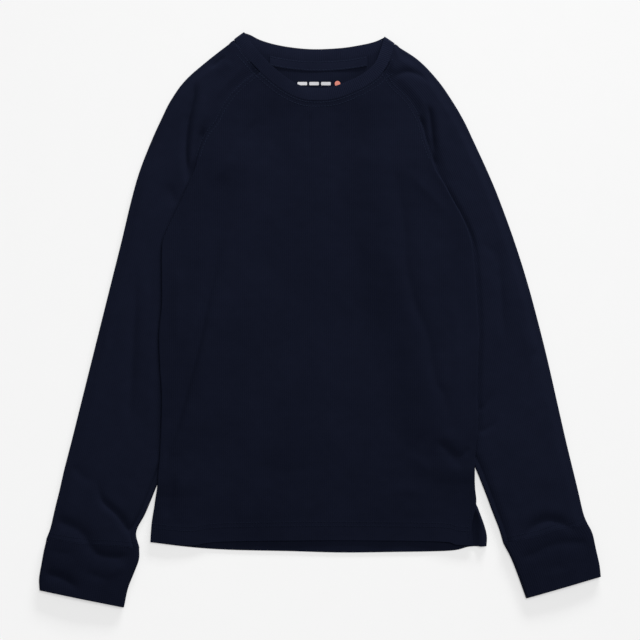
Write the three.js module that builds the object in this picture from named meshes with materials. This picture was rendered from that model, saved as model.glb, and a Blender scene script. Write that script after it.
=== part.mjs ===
// A child's long-sleeved thermal top in fine ribbed cotton, laid flat with its front up.
// Millimetres. X runs across the chest, +Y toward the neck, +Z up from the surface it lies on.
// Both sleeves are brought down and tucked under the body, so the body's sides lie on them.
import * as THREE from "three";

// Sizes of the garment
const CLOTH = 1.2; // wall of the panels and sleeves
const RIB = 1.6; // wall of the cuffs, cut double
const BAND = 1.8; // wall of the neckband, cut double
const TAPE = 1.0; // wall of the tape inside the back neck
const SEAM_GAP = 0.3; // between two pieces that are sewn together
const LAYER_GAP = 0.6; // between two layers that lie on each other
const TAPE_WIDTH = 11;

// Heights of the middle of each layer above the surface, where it lies flat
const LOW = CLOTH / 2; // back panel and the underside of the sleeves
const SLEEVE_PRESSED = LOW + CLOTH + 1.6; // sleeve top under the body, with its folds open a little
const SLEEVE_AT_NECK = 4.1; // sleeve top over the corner of the back panel
const SLEEVE_PUFF = 2.8; // more height where nothing lies on the sleeve
const BACK_OVER_SLEEVE = SLEEVE_PRESSED + CLOTH + LAYER_GAP;
const BACK_LAP = LOW + CLOTH + SEAM_GAP; // back panel on the sleeve at the back raglan seam
const FRONT_MIDDLE = 3.4;
const FRONT_OVER_SLEEVE = BACK_OVER_SLEEVE + 3.9;
const FRONT_LAP = SLEEVE_AT_NECK + CLOTH + SEAM_GAP; // front panel on the sleeve at the raglan seam

// The sides of the body
const FOLD_LENGTH = 2.8; // the strip along a side that can turn
const RAMP = 30; // the width over which a panel climbs on to a sleeve
const VENT_TOP = -203; // below it the front and back aren't joined at the sides
const SIDE_SEAM = SEAM_GAP / 2 + 0.3; // from the middle of the side seam to the edge of each panel
const NECK_SEAM = SEAM_GAP + 0.3; // from the neckband to the edge of a panel, on the curve
const HEM_TO = -186; // the hem's curve has died out here
const DIP_FROM = 150; // from here up the rows of a panel bend toward the curve of the neck
const LIFT_LEFT = { low: -218, high: -174 }; // between these the body's side comes up on to a sleeve
const LIFT_RIGHT = { low: -206, high: -162 };

// The two seams of the neckband, from fold to fold: the front seam is deep, the back one shallow.
const NECK_FRONT = [
  { x: -94, y: 307.5 },
  { x: -83.5, y: 292.5 },
  { x: -67, y: 274 },
  { x: -50.5, y: 259.5 },
  { x: -34, y: 248.5 },
  { x: -17, y: 242 },
  { x: 3, y: 241 },
  { x: 20, y: 243.5 },
  { x: 35, y: 249 },
  { x: 50, y: 256 },
  { x: 64, y: 266 },
  { x: 74, y: 279 },
  { x: 79.5, y: 292 },
  { x: 82, y: 303 },
];
const NECK_BACK = [
  { x: -94, y: 307.5 },
  { x: -84, y: 301.5 },
  { x: -70, y: 295 },
  { x: -50, y: 289.5 },
  { x: -28, y: 286 },
  { x: -4, y: 284.5 },
  { x: 26, y: 286 },
  { x: 50, y: 289.5 },
  { x: 66, y: 294 },
  { x: 75, y: 298.5 },
  { x: 82, y: 303 },
];
// The free edge of the neckband along the same two ways
const EDGE_FRONT = [
  { x: -83, y: 315.5 },
  { x: -73, y: 301 },
  { x: -58, y: 284 },
  { x: -43, y: 270.5 },
  { x: -27.5, y: 260 },
  { x: -14, y: 255.5 },
  { x: 3, y: 254.5 },
  { x: 16.5, y: 256.5 },
  { x: 30, y: 261.5 },
  { x: 43.5, y: 267.5 },
  { x: 55, y: 275.5 },
  { x: 62, y: 284 },
  { x: 67, y: 297 },
  { x: 71, y: 310.5 },
];
const EDGE_BACK = [
  { x: -83, y: 315.5 },
  { x: -76, y: 313 },
  { x: -65, y: 307.5 },
  { x: -48, y: 302.5 },
  { x: -27, y: 299 },
  { x: -4, y: 297.5 },
  { x: 25, y: 299 },
  { x: 47, y: 302.5 },
  { x: 58, y: 305 },
  { x: 65, y: 307.5 },
  { x: 71, y: 310.5 },
];

// The two panels, hem to neck. left and right are the sides; leftTuck and rightTuck are where
// the sleeve under the panel ends and the panel starts down to the surface.
const FRONT_HEM = [
  { y: -246, left: -187, leftTuck: -170, rightTuck: 154, right: 169.5 },
  { y: -225, left: -185.5, leftTuck: -169, rightTuck: 154, right: 168 },
  { y: -203, left: -182, leftTuck: -166, rightTuck: 156, right: 172.5 },
];
const BACK_HEM = [
  { y: -249, left: -187, leftTuck: -170, rightTuck: 168, right: 184 },
  { y: -238, left: -186.5, leftTuck: -170, rightTuck: 168, right: 184.5 },
  { y: -225, left: -185.5, leftTuck: -169, rightTuck: 164, right: 181 },
  { y: -203, left: -182, leftTuck: -166, rightTuck: 156, right: 173 },
];
const BODY = [
  { y: -186, left: -179, leftTuck: -164, rightTuck: 155, right: 171 },
  { y: -172, left: -178, leftTuck: -162, rightTuck: 154, right: 170.5 },
  { y: -149, left: -176, leftTuck: -159, rightTuck: 152, right: 171 },
  { y: -116, left: -174.5, leftTuck: -147, rightTuck: 136, right: 174 },
  { y: -83, left: -174, leftTuck: -137, rightTuck: 127, right: 173 },
  { y: -50, left: -176, leftTuck: -129, rightTuck: 119, right: 174 },
  { y: -17, left: -177, leftTuck: -122, rightTuck: 111, right: 175 },
  { y: 16, left: -174, leftTuck: -114, rightTuck: 101, right: 173 },
  { y: 49, left: -174, leftTuck: -106, rightTuck: 92, right: 171 },
  { y: 82, left: -173.5, leftTuck: -96, rightTuck: 85, right: 167.5 },
  { y: 98, left: -168, leftTuck: -91, rightTuck: 82, right: 163 },
  { y: 115, left: -160, leftTuck: -87, rightTuck: 81, right: 155.5 },
];
const FRONT_RAGLAN = [
  { y: 131, left: -152.5, leftTuck: -87, rightTuck: 78, right: 146.5 },
  { y: 148, left: -145, leftTuck: -87, rightTuck: 76, right: 137.5 },
  { y: 164, left: -138, leftTuck: -89, rightTuck: 77, right: 128 },
  { y: 181, left: -133.5, leftTuck: -92, rightTuck: 78, right: 121 },
  { y: 192, left: -130, leftTuck: -94, rightTuck: 81, right: 117 },
  { y: 204, left: -124, leftTuck: -96, rightTuck: 83, right: 113.5 },
  { y: 216, left: -114.5, leftTuck: -94, rightTuck: 83, right: 110.5 },
  { y: 229, left: -108, leftTuck: -91, rightTuck: 82, right: 104.5 },
  { y: 243, left: -99, leftTuck: -84, rightTuck: 78, right: 95 },
  { y: 258, left: -85, leftTuck: -72, rightTuck: 67, right: 80 },
  { y: 273, left: -66, leftTuck: -54, rightTuck: 58, right: 70 },
];
const BACK_RAGLAN = [
  { y: 131, left: -150, leftTuck: -87, rightTuck: 80, right: 144 },
  { y: 148, left: -139, leftTuck: -89, rightTuck: 78, right: 130 },
  { y: 164, left: -124, leftTuck: -91, rightTuck: 80, right: 111 },
  { y: 178, left: -107.5, leftTuck: -94, rightTuck: 80, right: 92 },
  { y: 197, left: -110, leftTuck: -97, rightTuck: 84, right: 97 },
  { y: 216, left: -108, leftTuck: -95, rightTuck: 84, right: 96 },
  { y: 235, left: -102, leftTuck: -89, rightTuck: 79, right: 91 },
  { y: 256, left: -94, leftTuck: -81, rightTuck: 72, right: 84 },
  { y: 276, left: -86, leftTuck: -74, rightTuck: 66, right: 77 },
  { y: 296, left: -75, leftTuck: -64, rightTuck: 58, right: 69 },
];
const FRONT = [...FRONT_HEM, ...BODY, ...FRONT_RAGLAN];
const BACK = [...BACK_HEM, ...BODY, ...BACK_RAGLAN];

// The hem lines: the front hem is a little higher than the back one in the middle.
const HEM_FRONT = [
  { x: -188, y: -245 },
  { x: -143, y: -249 },
  { x: -108, y: -245 },
  { x: 0, y: -243.5 },
  { x: 128, y: -244.5 },
  { x: 150, y: -248 },
  { x: 172, y: -249.5 },
];
const HEM_BACK = [
  { x: -188, y: -245.5 },
  { x: -143, y: -251 },
  { x: -99, y: -254 },
  { x: -33, y: -255.5 },
  { x: 22, y: -257 },
  { x: 77, y: -256.5 },
  { x: 143, y: -255 },
  { x: 165, y: -250.5 },
  { x: 186, y: -250 },
];

// The sleeves, cuff to neck: (outX, outY) on the outer fold, (frontX, frontY) on the front edge
// of its upper layer, (backX, backY) on the back edge of its under layer.
const SLEEVE_LEFT = [
  { outX: -300.5, outY: -232, frontX: -198.5, frontY: -251.5, backX: -198.5, backY: -251.5 },
  { outX: -295, outY: -219, frontX: -202, frontY: -234, backX: -202, backY: -234 },
  { outX: -287.5, outY: -192, frontX: -192, frontY: -214, backX: -192, backY: -214 },
  { outX: -281.5, outY: -166, frontX: -182, frontY: -190, backX: -182, backY: -190 },
  { outX: -273, outY: -133, frontX: -169, frontY: -157, backX: -169, backY: -157 },
  { outX: -262, outY: -89, frontX: -153, frontY: -113, backX: -153, backY: -113 },
  { outX: -251, outY: -45, frontX: -141, frontY: -69, backX: -141, backY: -69 },
  { outX: -240, outY: -1, frontX: -131.5, frontY: -25, backX: -131.5, backY: -25 },
  { outX: -229, outY: 43, frontX: -121, frontY: 19, backX: -121, backY: 19 },
  { outX: -218, outY: 87, frontX: -109.5, frontY: 63, backX: -109.5, backY: 63 },
  { outX: -207.5, outY: 131, frontX: -97, frontY: 107, backX: -97, backY: 107 },
  { outX: -198, outY: 164, frontX: -100, frontY: 150, backX: -100, backY: 150 },
  { outX: -185, outY: 197, frontX: -113, frontY: 187, backX: -104, backY: 190 },
  { outX: -175, outY: 219, frontX: -117, frontY: 206, backX: -103, backY: 213 },
  { outX: -164, outY: 241, frontX: -108, frontY: 219, backX: -97, backY: 233 },
  { outX: -148, outY: 263, frontX: -94, frontY: 243, backX: -89, backY: 256 },
  { outX: -123, outY: 285, frontX: -78, frontY: 259, backX: -81, backY: 277 },
  { outX: -94.8, outY: 306.9, frontX: -62, frontY: 269.5, backX: -70, backY: 295 },
];
const SLEEVE_RIGHT = [
  { outX: 294, outY: -216.5, frontX: 202, frontY: -246, backX: 202, backY: -246 },
  { outX: 290, outY: -207, frontX: 197, frontY: -230, backX: 197, backY: -230 },
  { outX: 285.5, outY: -192, frontX: 190, frontY: -212, backX: 190, backY: -212 },
  { outX: 279, outY: -166, frontX: 181, frontY: -188, backX: 181, backY: -188 },
  { outX: 271, outY: -133, frontX: 167, frontY: -155, backX: 167, backY: -155 },
  { outX: 261, outY: -89, frontX: 143, frontY: -112, backX: 143, backY: -112 },
  { outX: 251, outY: -45, frontX: 129, frontY: -69, backX: 129, backY: -69 },
  { outX: 240, outY: -1, frontX: 120, frontY: -25, backX: 120, backY: -25 },
  { outX: 228, outY: 43, frontX: 107, frontY: 19, backX: 107, backY: 19 },
  { outX: 214, outY: 87, frontX: 95.5, frontY: 63, backX: 95.5, backY: 63 },
  { outX: 198, outY: 131, frontX: 89, frontY: 107, backX: 89, backY: 107 },
  { outX: 186, outY: 160, frontX: 88.5, frontY: 148, backX: 88.5, backY: 148 },
  { outX: 169, outY: 197, frontX: 99, frontY: 188, backX: 91, backY: 190 },
  { outX: 158.5, outY: 219, frontX: 105, frontY: 208, backX: 91, backY: 212 },
  { outX: 145.5, outY: 241, frontX: 101, frontY: 223, backX: 86, backY: 233 },
  { outX: 130, outY: 263, frontX: 90, frontY: 240, backX: 79, backY: 256 },
  { outX: 109, outY: 285, frontX: 76, frontY: 255, backX: 72, backY: 276 },
  { outX: 82.8, outY: 302.4, frontX: 65, frontY: 266, backX: 63, backY: 293 },
];
// The cuffs, from the sleeve to the hand: the two folds of each flattened ring
const CUFF_LEFT = [
  { outX: -300.7, outY: -232.6, inX: -198.7, inY: -252.1 },
  { outX: -303, outY: -248, inX: -199, inY: -264 },
  { outX: -306, outY: -267, inX: -204, inY: -278 },
  { outX: -309, outY: -285, inX: -210, inY: -295 },
  { outX: -308.5, outY: -298, inX: -215, inY: -313 },
];
const CUFF_RIGHT = [
  { outX: 294.1, outY: -217, inX: 202.1, inY: -246.5 },
  { outX: 300, outY: -233, inX: 209, inY: -259 },
  { outX: 304, outY: -252, inX: 215.5, inY: -275 },
  { outX: 308, outY: -270, inX: 221, inY: -289 },
  { outX: 309.5, outY: -283, inX: 226, inY: -304 },
];

const { lerp, clamp, smoothstep, degToRad } = THREE.MathUtils;

// A named column of a table at a place between its rows, on a smooth curve through them
function along(table, name, place) {
  const last = table.length - 1;
  const i = clamp(Math.floor(place), 0, last - 1);
  const f = place - i;
  const before = table[Math.max(i - 1, 0)][name];
  const from = table[i][name];
  const to = table[i + 1][name];
  const after = table[Math.min(i + 2, last)][name];
  const slopeFrom = i > 0 ? (to - before) / 2 : to - from;
  const slopeTo = i + 1 < last ? (after - from) / 2 : to - from;
  const bend = 3 * (to - from) - 2 * slopeFrom - slopeTo;
  const twist = 2 * (from - to) + slopeFrom + slopeTo;
  return from + f * (slopeFrom + f * (bend + f * twist));
}

// The place in a table where a rising column has a value
function placeOf(table, name, value) {
  let low = 0;
  let high = table.length - 1;
  for (let step = 0; step < 30; step += 1) {
    const middle = (low + high) / 2;
    if (along(table, name, middle) < value) low = middle;
    else high = middle;
  }
  return (low + high) / 2;
}

// The height of a line drawn by a table of x and y
const lineY = (table, x) => along(table, "y", placeOf(table, "x", x));

// The same line moved down so that it clears a piece on the line by a gap
function lineBelow(table, x, gap) {
  const slope = lineY(table, x + 0.5) - lineY(table, x - 0.5);
  return lineY(table, x) - gap * Math.hypot(1, slope);
}

// A closed wall round a net of points that lie on its middle. The rows of a ring close on themselves.
function wall(net, thickness, ring = false) {
  const rows = net.length;
  const columns = net[0].length;
  const columnAt = (j) => (ring ? (j + columns) % columns : clamp(j, 0, columns - 1));
  const at = (i, j) => net[clamp(i, 0, rows - 1)][columnAt(j)];
  const positions = [];
  const across = new THREE.Vector3();
  const down = new THREE.Vector3();
  const normal = new THREE.Vector3();
  for (const side of [0.5, -0.5]) {
    for (let i = 0; i < rows; i += 1) {
      for (let j = 0; j < columns; j += 1) {
        across.subVectors(at(i, j + 1), at(i, j - 1));
        down.subVectors(at(i + 1, j), at(i - 1, j));
        normal.crossVectors(across, down).normalize().multiplyScalar(side * thickness);
        positions.push(...normal.add(at(i, j)).toArray());
      }
    }
  }
  const index = [];
  const size = rows * columns;
  const id = (layer, i, j) => layer * size + i * columns + (j % columns);
  const quad = (a, b, c, d) => index.push(a, b, c, a, c, d);
  const wide = ring ? columns : columns - 1;
  for (let i = 0; i < rows - 1; i += 1) {
    for (let j = 0; j < wide; j += 1) {
      quad(id(0, i, j), id(0, i, j + 1), id(0, i + 1, j + 1), id(0, i + 1, j));
      quad(id(1, i, j), id(1, i + 1, j), id(1, i + 1, j + 1), id(1, i, j + 1));
    }
  }
  for (let j = 0; j < wide; j += 1) {
    quad(id(0, 0, j + 1), id(0, 0, j), id(1, 0, j), id(1, 0, j + 1));
    quad(id(0, rows - 1, j), id(0, rows - 1, j + 1), id(1, rows - 1, j + 1), id(1, rows - 1, j));
  }
  for (let i = 0; !ring && i < rows - 1; i += 1) {
    quad(id(0, i, 0), id(0, i + 1, 0), id(1, i + 1, 0), id(1, i, 0));
    quad(id(0, i + 1, wide), id(0, i, wide), id(1, i, wide), id(1, i + 1, wide));
  }
  const geometry = new THREE.BufferGeometry();
  geometry.setAttribute("position", new THREE.Float32BufferAttribute(positions, 3));
  geometry.setIndex(index);
  geometry.computeVertexNormals();
  return geometry;
}

// One side of a panel's row, from its edge inward: the x of each column, how far up the ramp it is
// (1 on the sleeve) and how far down its turn takes it. The turn has a radius and an angle.
function sideColumns(edge, tuck, side, { radius, angle }) {
  const columns = [];
  const add = (x, ramp, down) => columns.push({ x, ramp, down, side });
  const flat = FOLD_LENGTH - radius * angle;
  const reach = flat + radius * Math.sin(angle);
  for (const f of [0, 0.28, 0.56, 0.84]) {
    const run = FOLD_LENGTH * (1 - f);
    const bent = Math.max(run - flat, 0) / radius;
    const inward = reach - Math.min(run, flat) - radius * Math.sin(bent);
    add(edge - side * inward, 1, radius * (1 - Math.cos(bent)));
  }
  const start = edge - side * reach;
  for (const f of [0.2, 0.55, 1]) add(lerp(start, tuck, f), 1, 0);
  for (const f of [0.25, 0.5, 0.75, 1]) add(tuck - side * RAMP * f, 1 - smoothstep(f, 0, 1), 0);
  return columns;
}

function panelColumns(row, turnLeft, turnRight) {
  const left = sideColumns(row.left + CLOTH / 2, row.leftTuck, -1, turnLeft);
  const right = sideColumns(row.right - CLOTH / 2, row.rightTuck, 1, turnRight);
  const from = row.leftTuck + RAMP;
  const to = row.rightTuck - RAMP;
  const middle = [0.2, 0.4, 0.6, 0.8].map((f) => ({ x: lerp(from, to, f), ramp: 0, down: 0, side: 1 }));
  return [...left, ...middle, ...right.reverse()];
}

// A panel as a net: rows from the table, dipped to the neckline at the top and the hem at the bottom
function panelNet(table, neck, hem, heights) {
  const top = table[table.length - 1];
  const bottom = table[0];
  return table.map((row) => {
    const dip = Math.max((row.y - DIP_FROM) / (top.y - DIP_FROM), 0) ** 1.6;
    const hemShare = 1 - smoothstep(row.y, bottom.y, HEM_TO);
    const left = heights(row.y, LIFT_LEFT);
    const right = heights(row.y, LIFT_RIGHT);
    return panelColumns(row, left, right).map((column) => {
      const share = (column.x - row.left) / (row.right - row.left);
      const neckX = lerp(top.left, top.right, share);
      const hemX = lerp(bottom.left, bottom.right, share);
      const dipY = dip * (lineBelow(neck, neckX, NECK_SEAM) - top.y);
      const hemY = hemShare * (lineY(hem, hemX) - bottom.y);
      const at = column.side < 0 ? left : right;
      const z = lerp(at.middle, at.high, column.ramp) - at.way * column.down;
      return new THREE.Vector3(column.x, row.y + dipY + hemY, z);
    });
  });
}

// 1 where the front and back are sewn together at the side, 0 beside the vents
const sideJoined = (y) => smoothstep(y, VENT_TOP - 8, VENT_TOP + 14);

// The heights of a panel at y: in the middle, at a side, and its turn there, down (way 1) or up (-1).
// Where front and back are joined, both turn toward the seam halfway between them.
function frontHeights(y, side) {
  const lift = smoothstep(y, side.low, side.high);
  const onBody = lerp(FRONT_MIDDLE, FRONT_OVER_SLEEVE, lift);
  const high = lerp(onBody, FRONT_LAP, smoothstep(y, 185, 216));
  const radius = (onBody - lerp(LOW, BACK_OVER_SLEEVE, lift)) / 2 - SIDE_SEAM;
  const joined = sideJoined(y) * (1 - smoothstep(y, 150, 200));
  return { middle: FRONT_MIDDLE, high, radius, angle: (joined * Math.PI) / 2, way: 1 };
}

function backHeights(y, side) {
  const lift = smoothstep(y, side.low, side.high);
  const onSleeve = lerp(LOW, BACK_OVER_SLEEVE, lift);
  const high = lerp(onSleeve, BACK_LAP, smoothstep(y, 178, 199));
  const radius = (lerp(FRONT_MIDDLE, FRONT_OVER_SLEEVE, lift) - onSleeve) / 2 - SIDE_SEAM;
  const joined = sideJoined(y) * (1 - smoothstep(y, 115, 150));
  return { middle: LOW, high, radius, angle: (joined * Math.PI) / 2, way: -1 };
}

// A sleeve as a net. Each row starts at the underarm seam, runs out along the under layer, round the
// outer fold and back along the upper layer to the seam or to the raglan edge.
const UNDER_STEPS = [0.03, 0.12, 0.28, 0.5, 0.74, 0.92];
const FREE_STEPS = [0.04, 0.12, 0.24, 0.38, 0.52, 0.66, 0.78, 0.89, 1];
const COVERED_STEPS = [0.3, 0.65, 1];
const OUTER_FOLD = [-60, -25, 10, 50];
const INNER_FOLD = [18, 46, 76];

function sleeveNet(table, side) {
  const last = table.length - 1;
  const count = last + 4;
  const net = [];
  for (let i = 0; i <= count; i += 1) {
    const place = (last * i) / count;
    net.push(sleeveRow((name) => along(table, name, place), place / last, side, i === count));
  }
  return net;
}

function sleeveRow(get, share, side, atNeck) {
  const out = new THREE.Vector2(get("outX"), get("outY"));
  const front = new THREE.Vector2(get("frontX"), get("frontY"));
  const back = new THREE.Vector2(get("backX"), get("backY"));
  const tube = 1 - smoothstep(share, 0.6, 0.7); // 1 where the sleeve is a tube, 0 at the shoulder
  const top = lerp(SLEEVE_PRESSED, SLEEVE_AT_NECK, smoothstep(share, 0.7, 0.86));
  const middle = (LOW + top) / 2;
  const radius = (top - LOW) / 2;
  const inset = radius + CLOTH / 2;
  const inward = new THREE.Vector2().subVectors(front, out).normalize();
  const outerFold = out.clone().addScaledVector(inward, inset);
  const innerFold = front.clone().addScaledVector(inward, -inset);
  const upperEnd = front.clone().lerp(innerFold, tube);
  const underEnd = back.clone().lerp(innerFold, tube);
  const row = [];
  const add = (at, z) => row.push(new THREE.Vector3(at.x, at.y, z));
  // A point of a fold: round it where bent is 1, at the flat place where bent is 0
  const turn = (fold, way, degrees, flat, flatZ, bent) => {
    const t = degToRad(degrees);
    const at = fold.clone().addScaledVector(inward, way * radius * Math.cos(t));
    add(flat.clone().lerp(at, bent), lerp(flatZ, middle + radius * Math.sin(t), bent));
  };
  const edgeStep = new THREE.Vector2().subVectors(out, back).normalize();
  const upperStop = upperEnd.clone().addScaledVector(inward, -3 * (1 - tube));
  const upperAt = (f) => {
    if (!atNeck) return outerFold.clone().lerp(upperStop, f);
    return beside(NECK_FRONT, lerp(outerFold.x, upperStop.x, f));
  };
  const underAt = (f) => {
    if (!atNeck) return underStart.clone().lerp(outerFold, f);
    return beside(NECK_BACK, lerp(underStart.x, outerFold.x, f));
  };
  INNER_FOLD.forEach((degrees, k) => {
    const flat = back.clone().addScaledVector(edgeStep, k);
    turn(innerFold, 1, -degrees, atNeck ? beside(NECK_BACK, flat.x) : flat, LOW, tube);
  });
  const underStart = back.clone().addScaledVector(edgeStep, 3).lerp(innerFold, tube);
  for (const f of UNDER_STEPS) add(underAt(f), LOW);
  for (const degrees of OUTER_FOLD) turn(outerFold, -1, degrees, outerFold, middle, 1);
  const cover = coverShare(outerFold, upperStop, side);
  const wide = outerFold.distanceTo(upperStop);
  for (const step of FREE_STEPS) {
    const f = step * cover;
    const puff = smoothstep((cover - f) * wide, 0, 20) * smoothstep(f * wide, 0, 18);
    add(upperAt(f), top + SLEEVE_PUFF * puff);
  }
  for (const step of COVERED_STEPS) add(upperAt(lerp(cover, 1, step)), top);
  [...INNER_FOLD].reverse().forEach((degrees, k) => {
    const flat = upperStop.clone().addScaledVector(inward, k + 1);
    turn(innerFold, 1, degrees, atNeck ? beside(NECK_FRONT, flat.x) : flat, top, tube);
  });
  return row;
}

// A point of a sleeve's neck edge, next to the neckband's seam at x
const beside = (table, x) => new THREE.Vector2(x, lineBelow(table, x, NECK_SEAM));

// How far along a row, from its outer fold, the side of the front panel begins to cover the sleeve
function coverShare(from, to, side) {
  const edge = side < 0 ? "left" : "right";
  let low = 0;
  let high = 1;
  for (let step = 0; step < 20; step += 1) {
    const middle = (low + high) / 2;
    const at = from.clone().lerp(to, middle);
    const sideX = along(FRONT, edge, placeOf(FRONT, "y", at.y));
    if (side * (at.x - sideX) > 0) low = middle;
    else high = middle;
  }
  return Math.min(low, 0.95);
}

// A cuff as a ring: each section runs out along the under side and back along the upper side.
const CUFF_ROWS = 6;
const CUFF_RADIUS = 2; // of the middle of its folds
const CUFF_PUFF = 1.6;

function cuffNet(table) {
  const net = [];
  const middle = RIB / 2 + CUFF_RADIUS;
  for (let i = 0; i <= CUFF_ROWS; i += 1) {
    const place = ((table.length - 1) * i) / CUFF_ROWS;
    const out = new THREE.Vector2(along(table, "outX", place), along(table, "outY", place));
    const inner = new THREE.Vector2(along(table, "inX", place), along(table, "inY", place));
    const axis = new THREE.Vector2().subVectors(inner, out).normalize();
    const outFold = out.clone().addScaledVector(axis, CUFF_RADIUS + RIB / 2);
    const inFold = inner.clone().addScaledVector(axis, -CUFF_RADIUS - RIB / 2);
    const row = [];
    const add = (at, z) => row.push(new THREE.Vector3(at.x, at.y, z));
    const turn = (fold, way, degrees) => {
      const reach = way * CUFF_RADIUS * Math.cos(degToRad(degrees));
      add(fold.clone().addScaledVector(axis, reach), middle + CUFF_RADIUS * Math.sin(degToRad(degrees)));
    };
    turn(inFold, 1, 0);
    turn(inFold, 1, -45);
    for (const f of [0, 0.25, 0.5, 0.75, 1]) add(inFold.clone().lerp(outFold, f), RIB / 2);
    for (const degrees of [-45, 0, 45]) turn(outFold, -1, degrees);
    for (const f of [0, 0.12, 0.25, 0.4, 0.55, 0.7, 0.85, 1]) {
      const puff = CUFF_PUFF * Math.sin(Math.PI * f) ** 0.8;
      add(outFold.clone().lerp(inFold, f), middle + CUFF_RADIUS + puff);
    }
    turn(inFold, 1, 45);
    net.push(row);
  }
  return net;
}

// The neckband as a ring: sections along the front from fold to fold, then back along the back
const BAND_STEPS = { front: 26, back: 20 };
const BAND_LOW = BAND / 2;
const BAND_HIGH = 5.4; // the front half next to its folds
const BAND_SINK = 1.5; // how much lower it lies in the middle
const BAND_INSET = 2.2; // from the drawn end of the band to the middle of its fold

function neckbandNet() {
  const sections = [];
  const pick = (table, place) => new THREE.Vector2(along(table, "x", place), along(table, "y", place));
  const add = (seam, edge, z) => {
    const points = [0, 0.33, 0.67, 1].map((f) => seam.clone().lerp(edge, f));
    sections.push(points.map((at) => new THREE.Vector3(at.x, at.y, z)));
  };
  const fold = (place, way, angles) => {
    const seam = pick(NECK_FRONT, place);
    const edge = pick(EDGE_FRONT, place);
    const along2 = new THREE.Vector2().subVectors(edge, seam).normalize();
    const outward = new THREE.Vector2(way * along2.y, -way * along2.x);
    const radius = (BAND_HIGH - BAND_LOW) / 2;
    for (const degrees of angles) {
      const move = radius * Math.cos(degToRad(degrees)) - BAND_INSET;
      const z = BAND_LOW + radius + radius * Math.sin(degToRad(degrees));
      add(seam.clone().addScaledVector(outward, move), edge.clone().addScaledVector(outward, move), z);
    }
  };
  const frontLast = NECK_FRONT.length - 1;
  for (let k = 1; k < BAND_STEPS.front; k += 1) {
    const share = k / BAND_STEPS.front;
    const place = frontLast * share;
    const z = BAND_HIGH - BAND_SINK * Math.sin(Math.PI * share) ** 2;
    add(pick(NECK_FRONT, place), pick(EDGE_FRONT, place), z);
  }
  fold(frontLast, 1, [50, 0, -50]);
  for (let k = BAND_STEPS.back - 1; k > 0; k -= 1) {
    const place = ((NECK_BACK.length - 1) * k) / BAND_STEPS.back;
    add(pick(NECK_BACK, place), pick(EDGE_BACK, place), BAND_LOW);
  }
  fold(0, -1, [-50, 0, 50]);
  return sections[0].map((_, across) => sections.map((section) => section[across]));
}

// The tape inside the back neck, just below the band on the inner face of the back panel
const TAPE_ENDS = { left: -55, right: 52 };
const TAPE_DROP = 1.5; // from the band's seam to the tape
const TAPE_COLUMNS = 18;

function tapeNet() {
  const neckRow = BACK[BACK.length - 1];
  return [0, 0.5, 1].map((f) => {
    const row = [];
    for (let k = 0; k <= TAPE_COLUMNS; k += 1) {
      const x = lerp(TAPE_ENDS.left, TAPE_ENDS.right, k / TAPE_COLUMNS);
      const rampLeft = 1 - smoothstep(x, neckRow.leftTuck, neckRow.leftTuck + RAMP);
      const rampRight = smoothstep(x, neckRow.rightTuck - RAMP, neckRow.rightTuck);
      const panel = lerp(LOW, BACK_LAP, Math.max(rampLeft, rampRight));
      const z = panel + (CLOTH + TAPE) / 2 + SEAM_GAP + 0.1;
      row.push(new THREE.Vector3(x, lineY(NECK_BACK, x) - TAPE_DROP - TAPE_WIDTH * f, z));
    }
    return row;
  });
}

const NAVY = 0x1b2036;
const NAVY_RIB = 0x1d2239;
const NAVY_TAPE = 0x272c45;
const part = new THREE.Group();

function addPiece(name, net, thickness, color, ring = false) {
  const material = new THREE.MeshStandardMaterial({ color, roughness: 0.95, metalness: 0 });
  const mesh = new THREE.Mesh(wall(net, thickness, ring), material);
  mesh.name = name;
  part.add(mesh);
}

addPiece("front_panel", panelNet(FRONT, NECK_FRONT, HEM_FRONT, frontHeights), CLOTH, NAVY);
addPiece("back_panel", panelNet(BACK, NECK_BACK, HEM_BACK, backHeights), CLOTH, NAVY);
addPiece("sleeve_left", sleeveNet(SLEEVE_LEFT, -1), CLOTH, NAVY);
addPiece("sleeve_right", sleeveNet(SLEEVE_RIGHT, 1), CLOTH, NAVY);
addPiece("cuff_left", cuffNet(CUFF_LEFT), RIB, NAVY_RIB, true);
addPiece("cuff_right", cuffNet(CUFF_RIGHT), RIB, NAVY_RIB, true);
addPiece("neckband", neckbandNet(), BAND, NAVY_RIB, true);
addPiece("neck_tape", tapeNet(), TAPE, NAVY_TAPE);

export default part;
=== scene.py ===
import math
import bpy
import numpy as np
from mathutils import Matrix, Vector
from mathutils.bvhtree import BVHTree


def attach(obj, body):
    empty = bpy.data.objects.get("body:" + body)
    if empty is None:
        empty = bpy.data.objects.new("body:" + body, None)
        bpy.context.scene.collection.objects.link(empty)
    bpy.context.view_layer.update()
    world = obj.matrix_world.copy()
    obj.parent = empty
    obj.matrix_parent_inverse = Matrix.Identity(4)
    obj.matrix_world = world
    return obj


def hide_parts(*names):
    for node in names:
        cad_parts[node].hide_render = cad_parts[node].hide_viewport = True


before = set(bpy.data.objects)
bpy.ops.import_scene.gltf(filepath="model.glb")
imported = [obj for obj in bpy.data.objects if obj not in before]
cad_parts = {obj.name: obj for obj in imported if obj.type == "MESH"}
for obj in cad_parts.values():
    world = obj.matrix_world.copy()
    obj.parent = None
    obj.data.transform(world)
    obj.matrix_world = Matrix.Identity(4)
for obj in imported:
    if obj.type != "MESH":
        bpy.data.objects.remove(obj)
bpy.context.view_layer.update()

MM = 0.001  # one millimetre in metres

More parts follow.
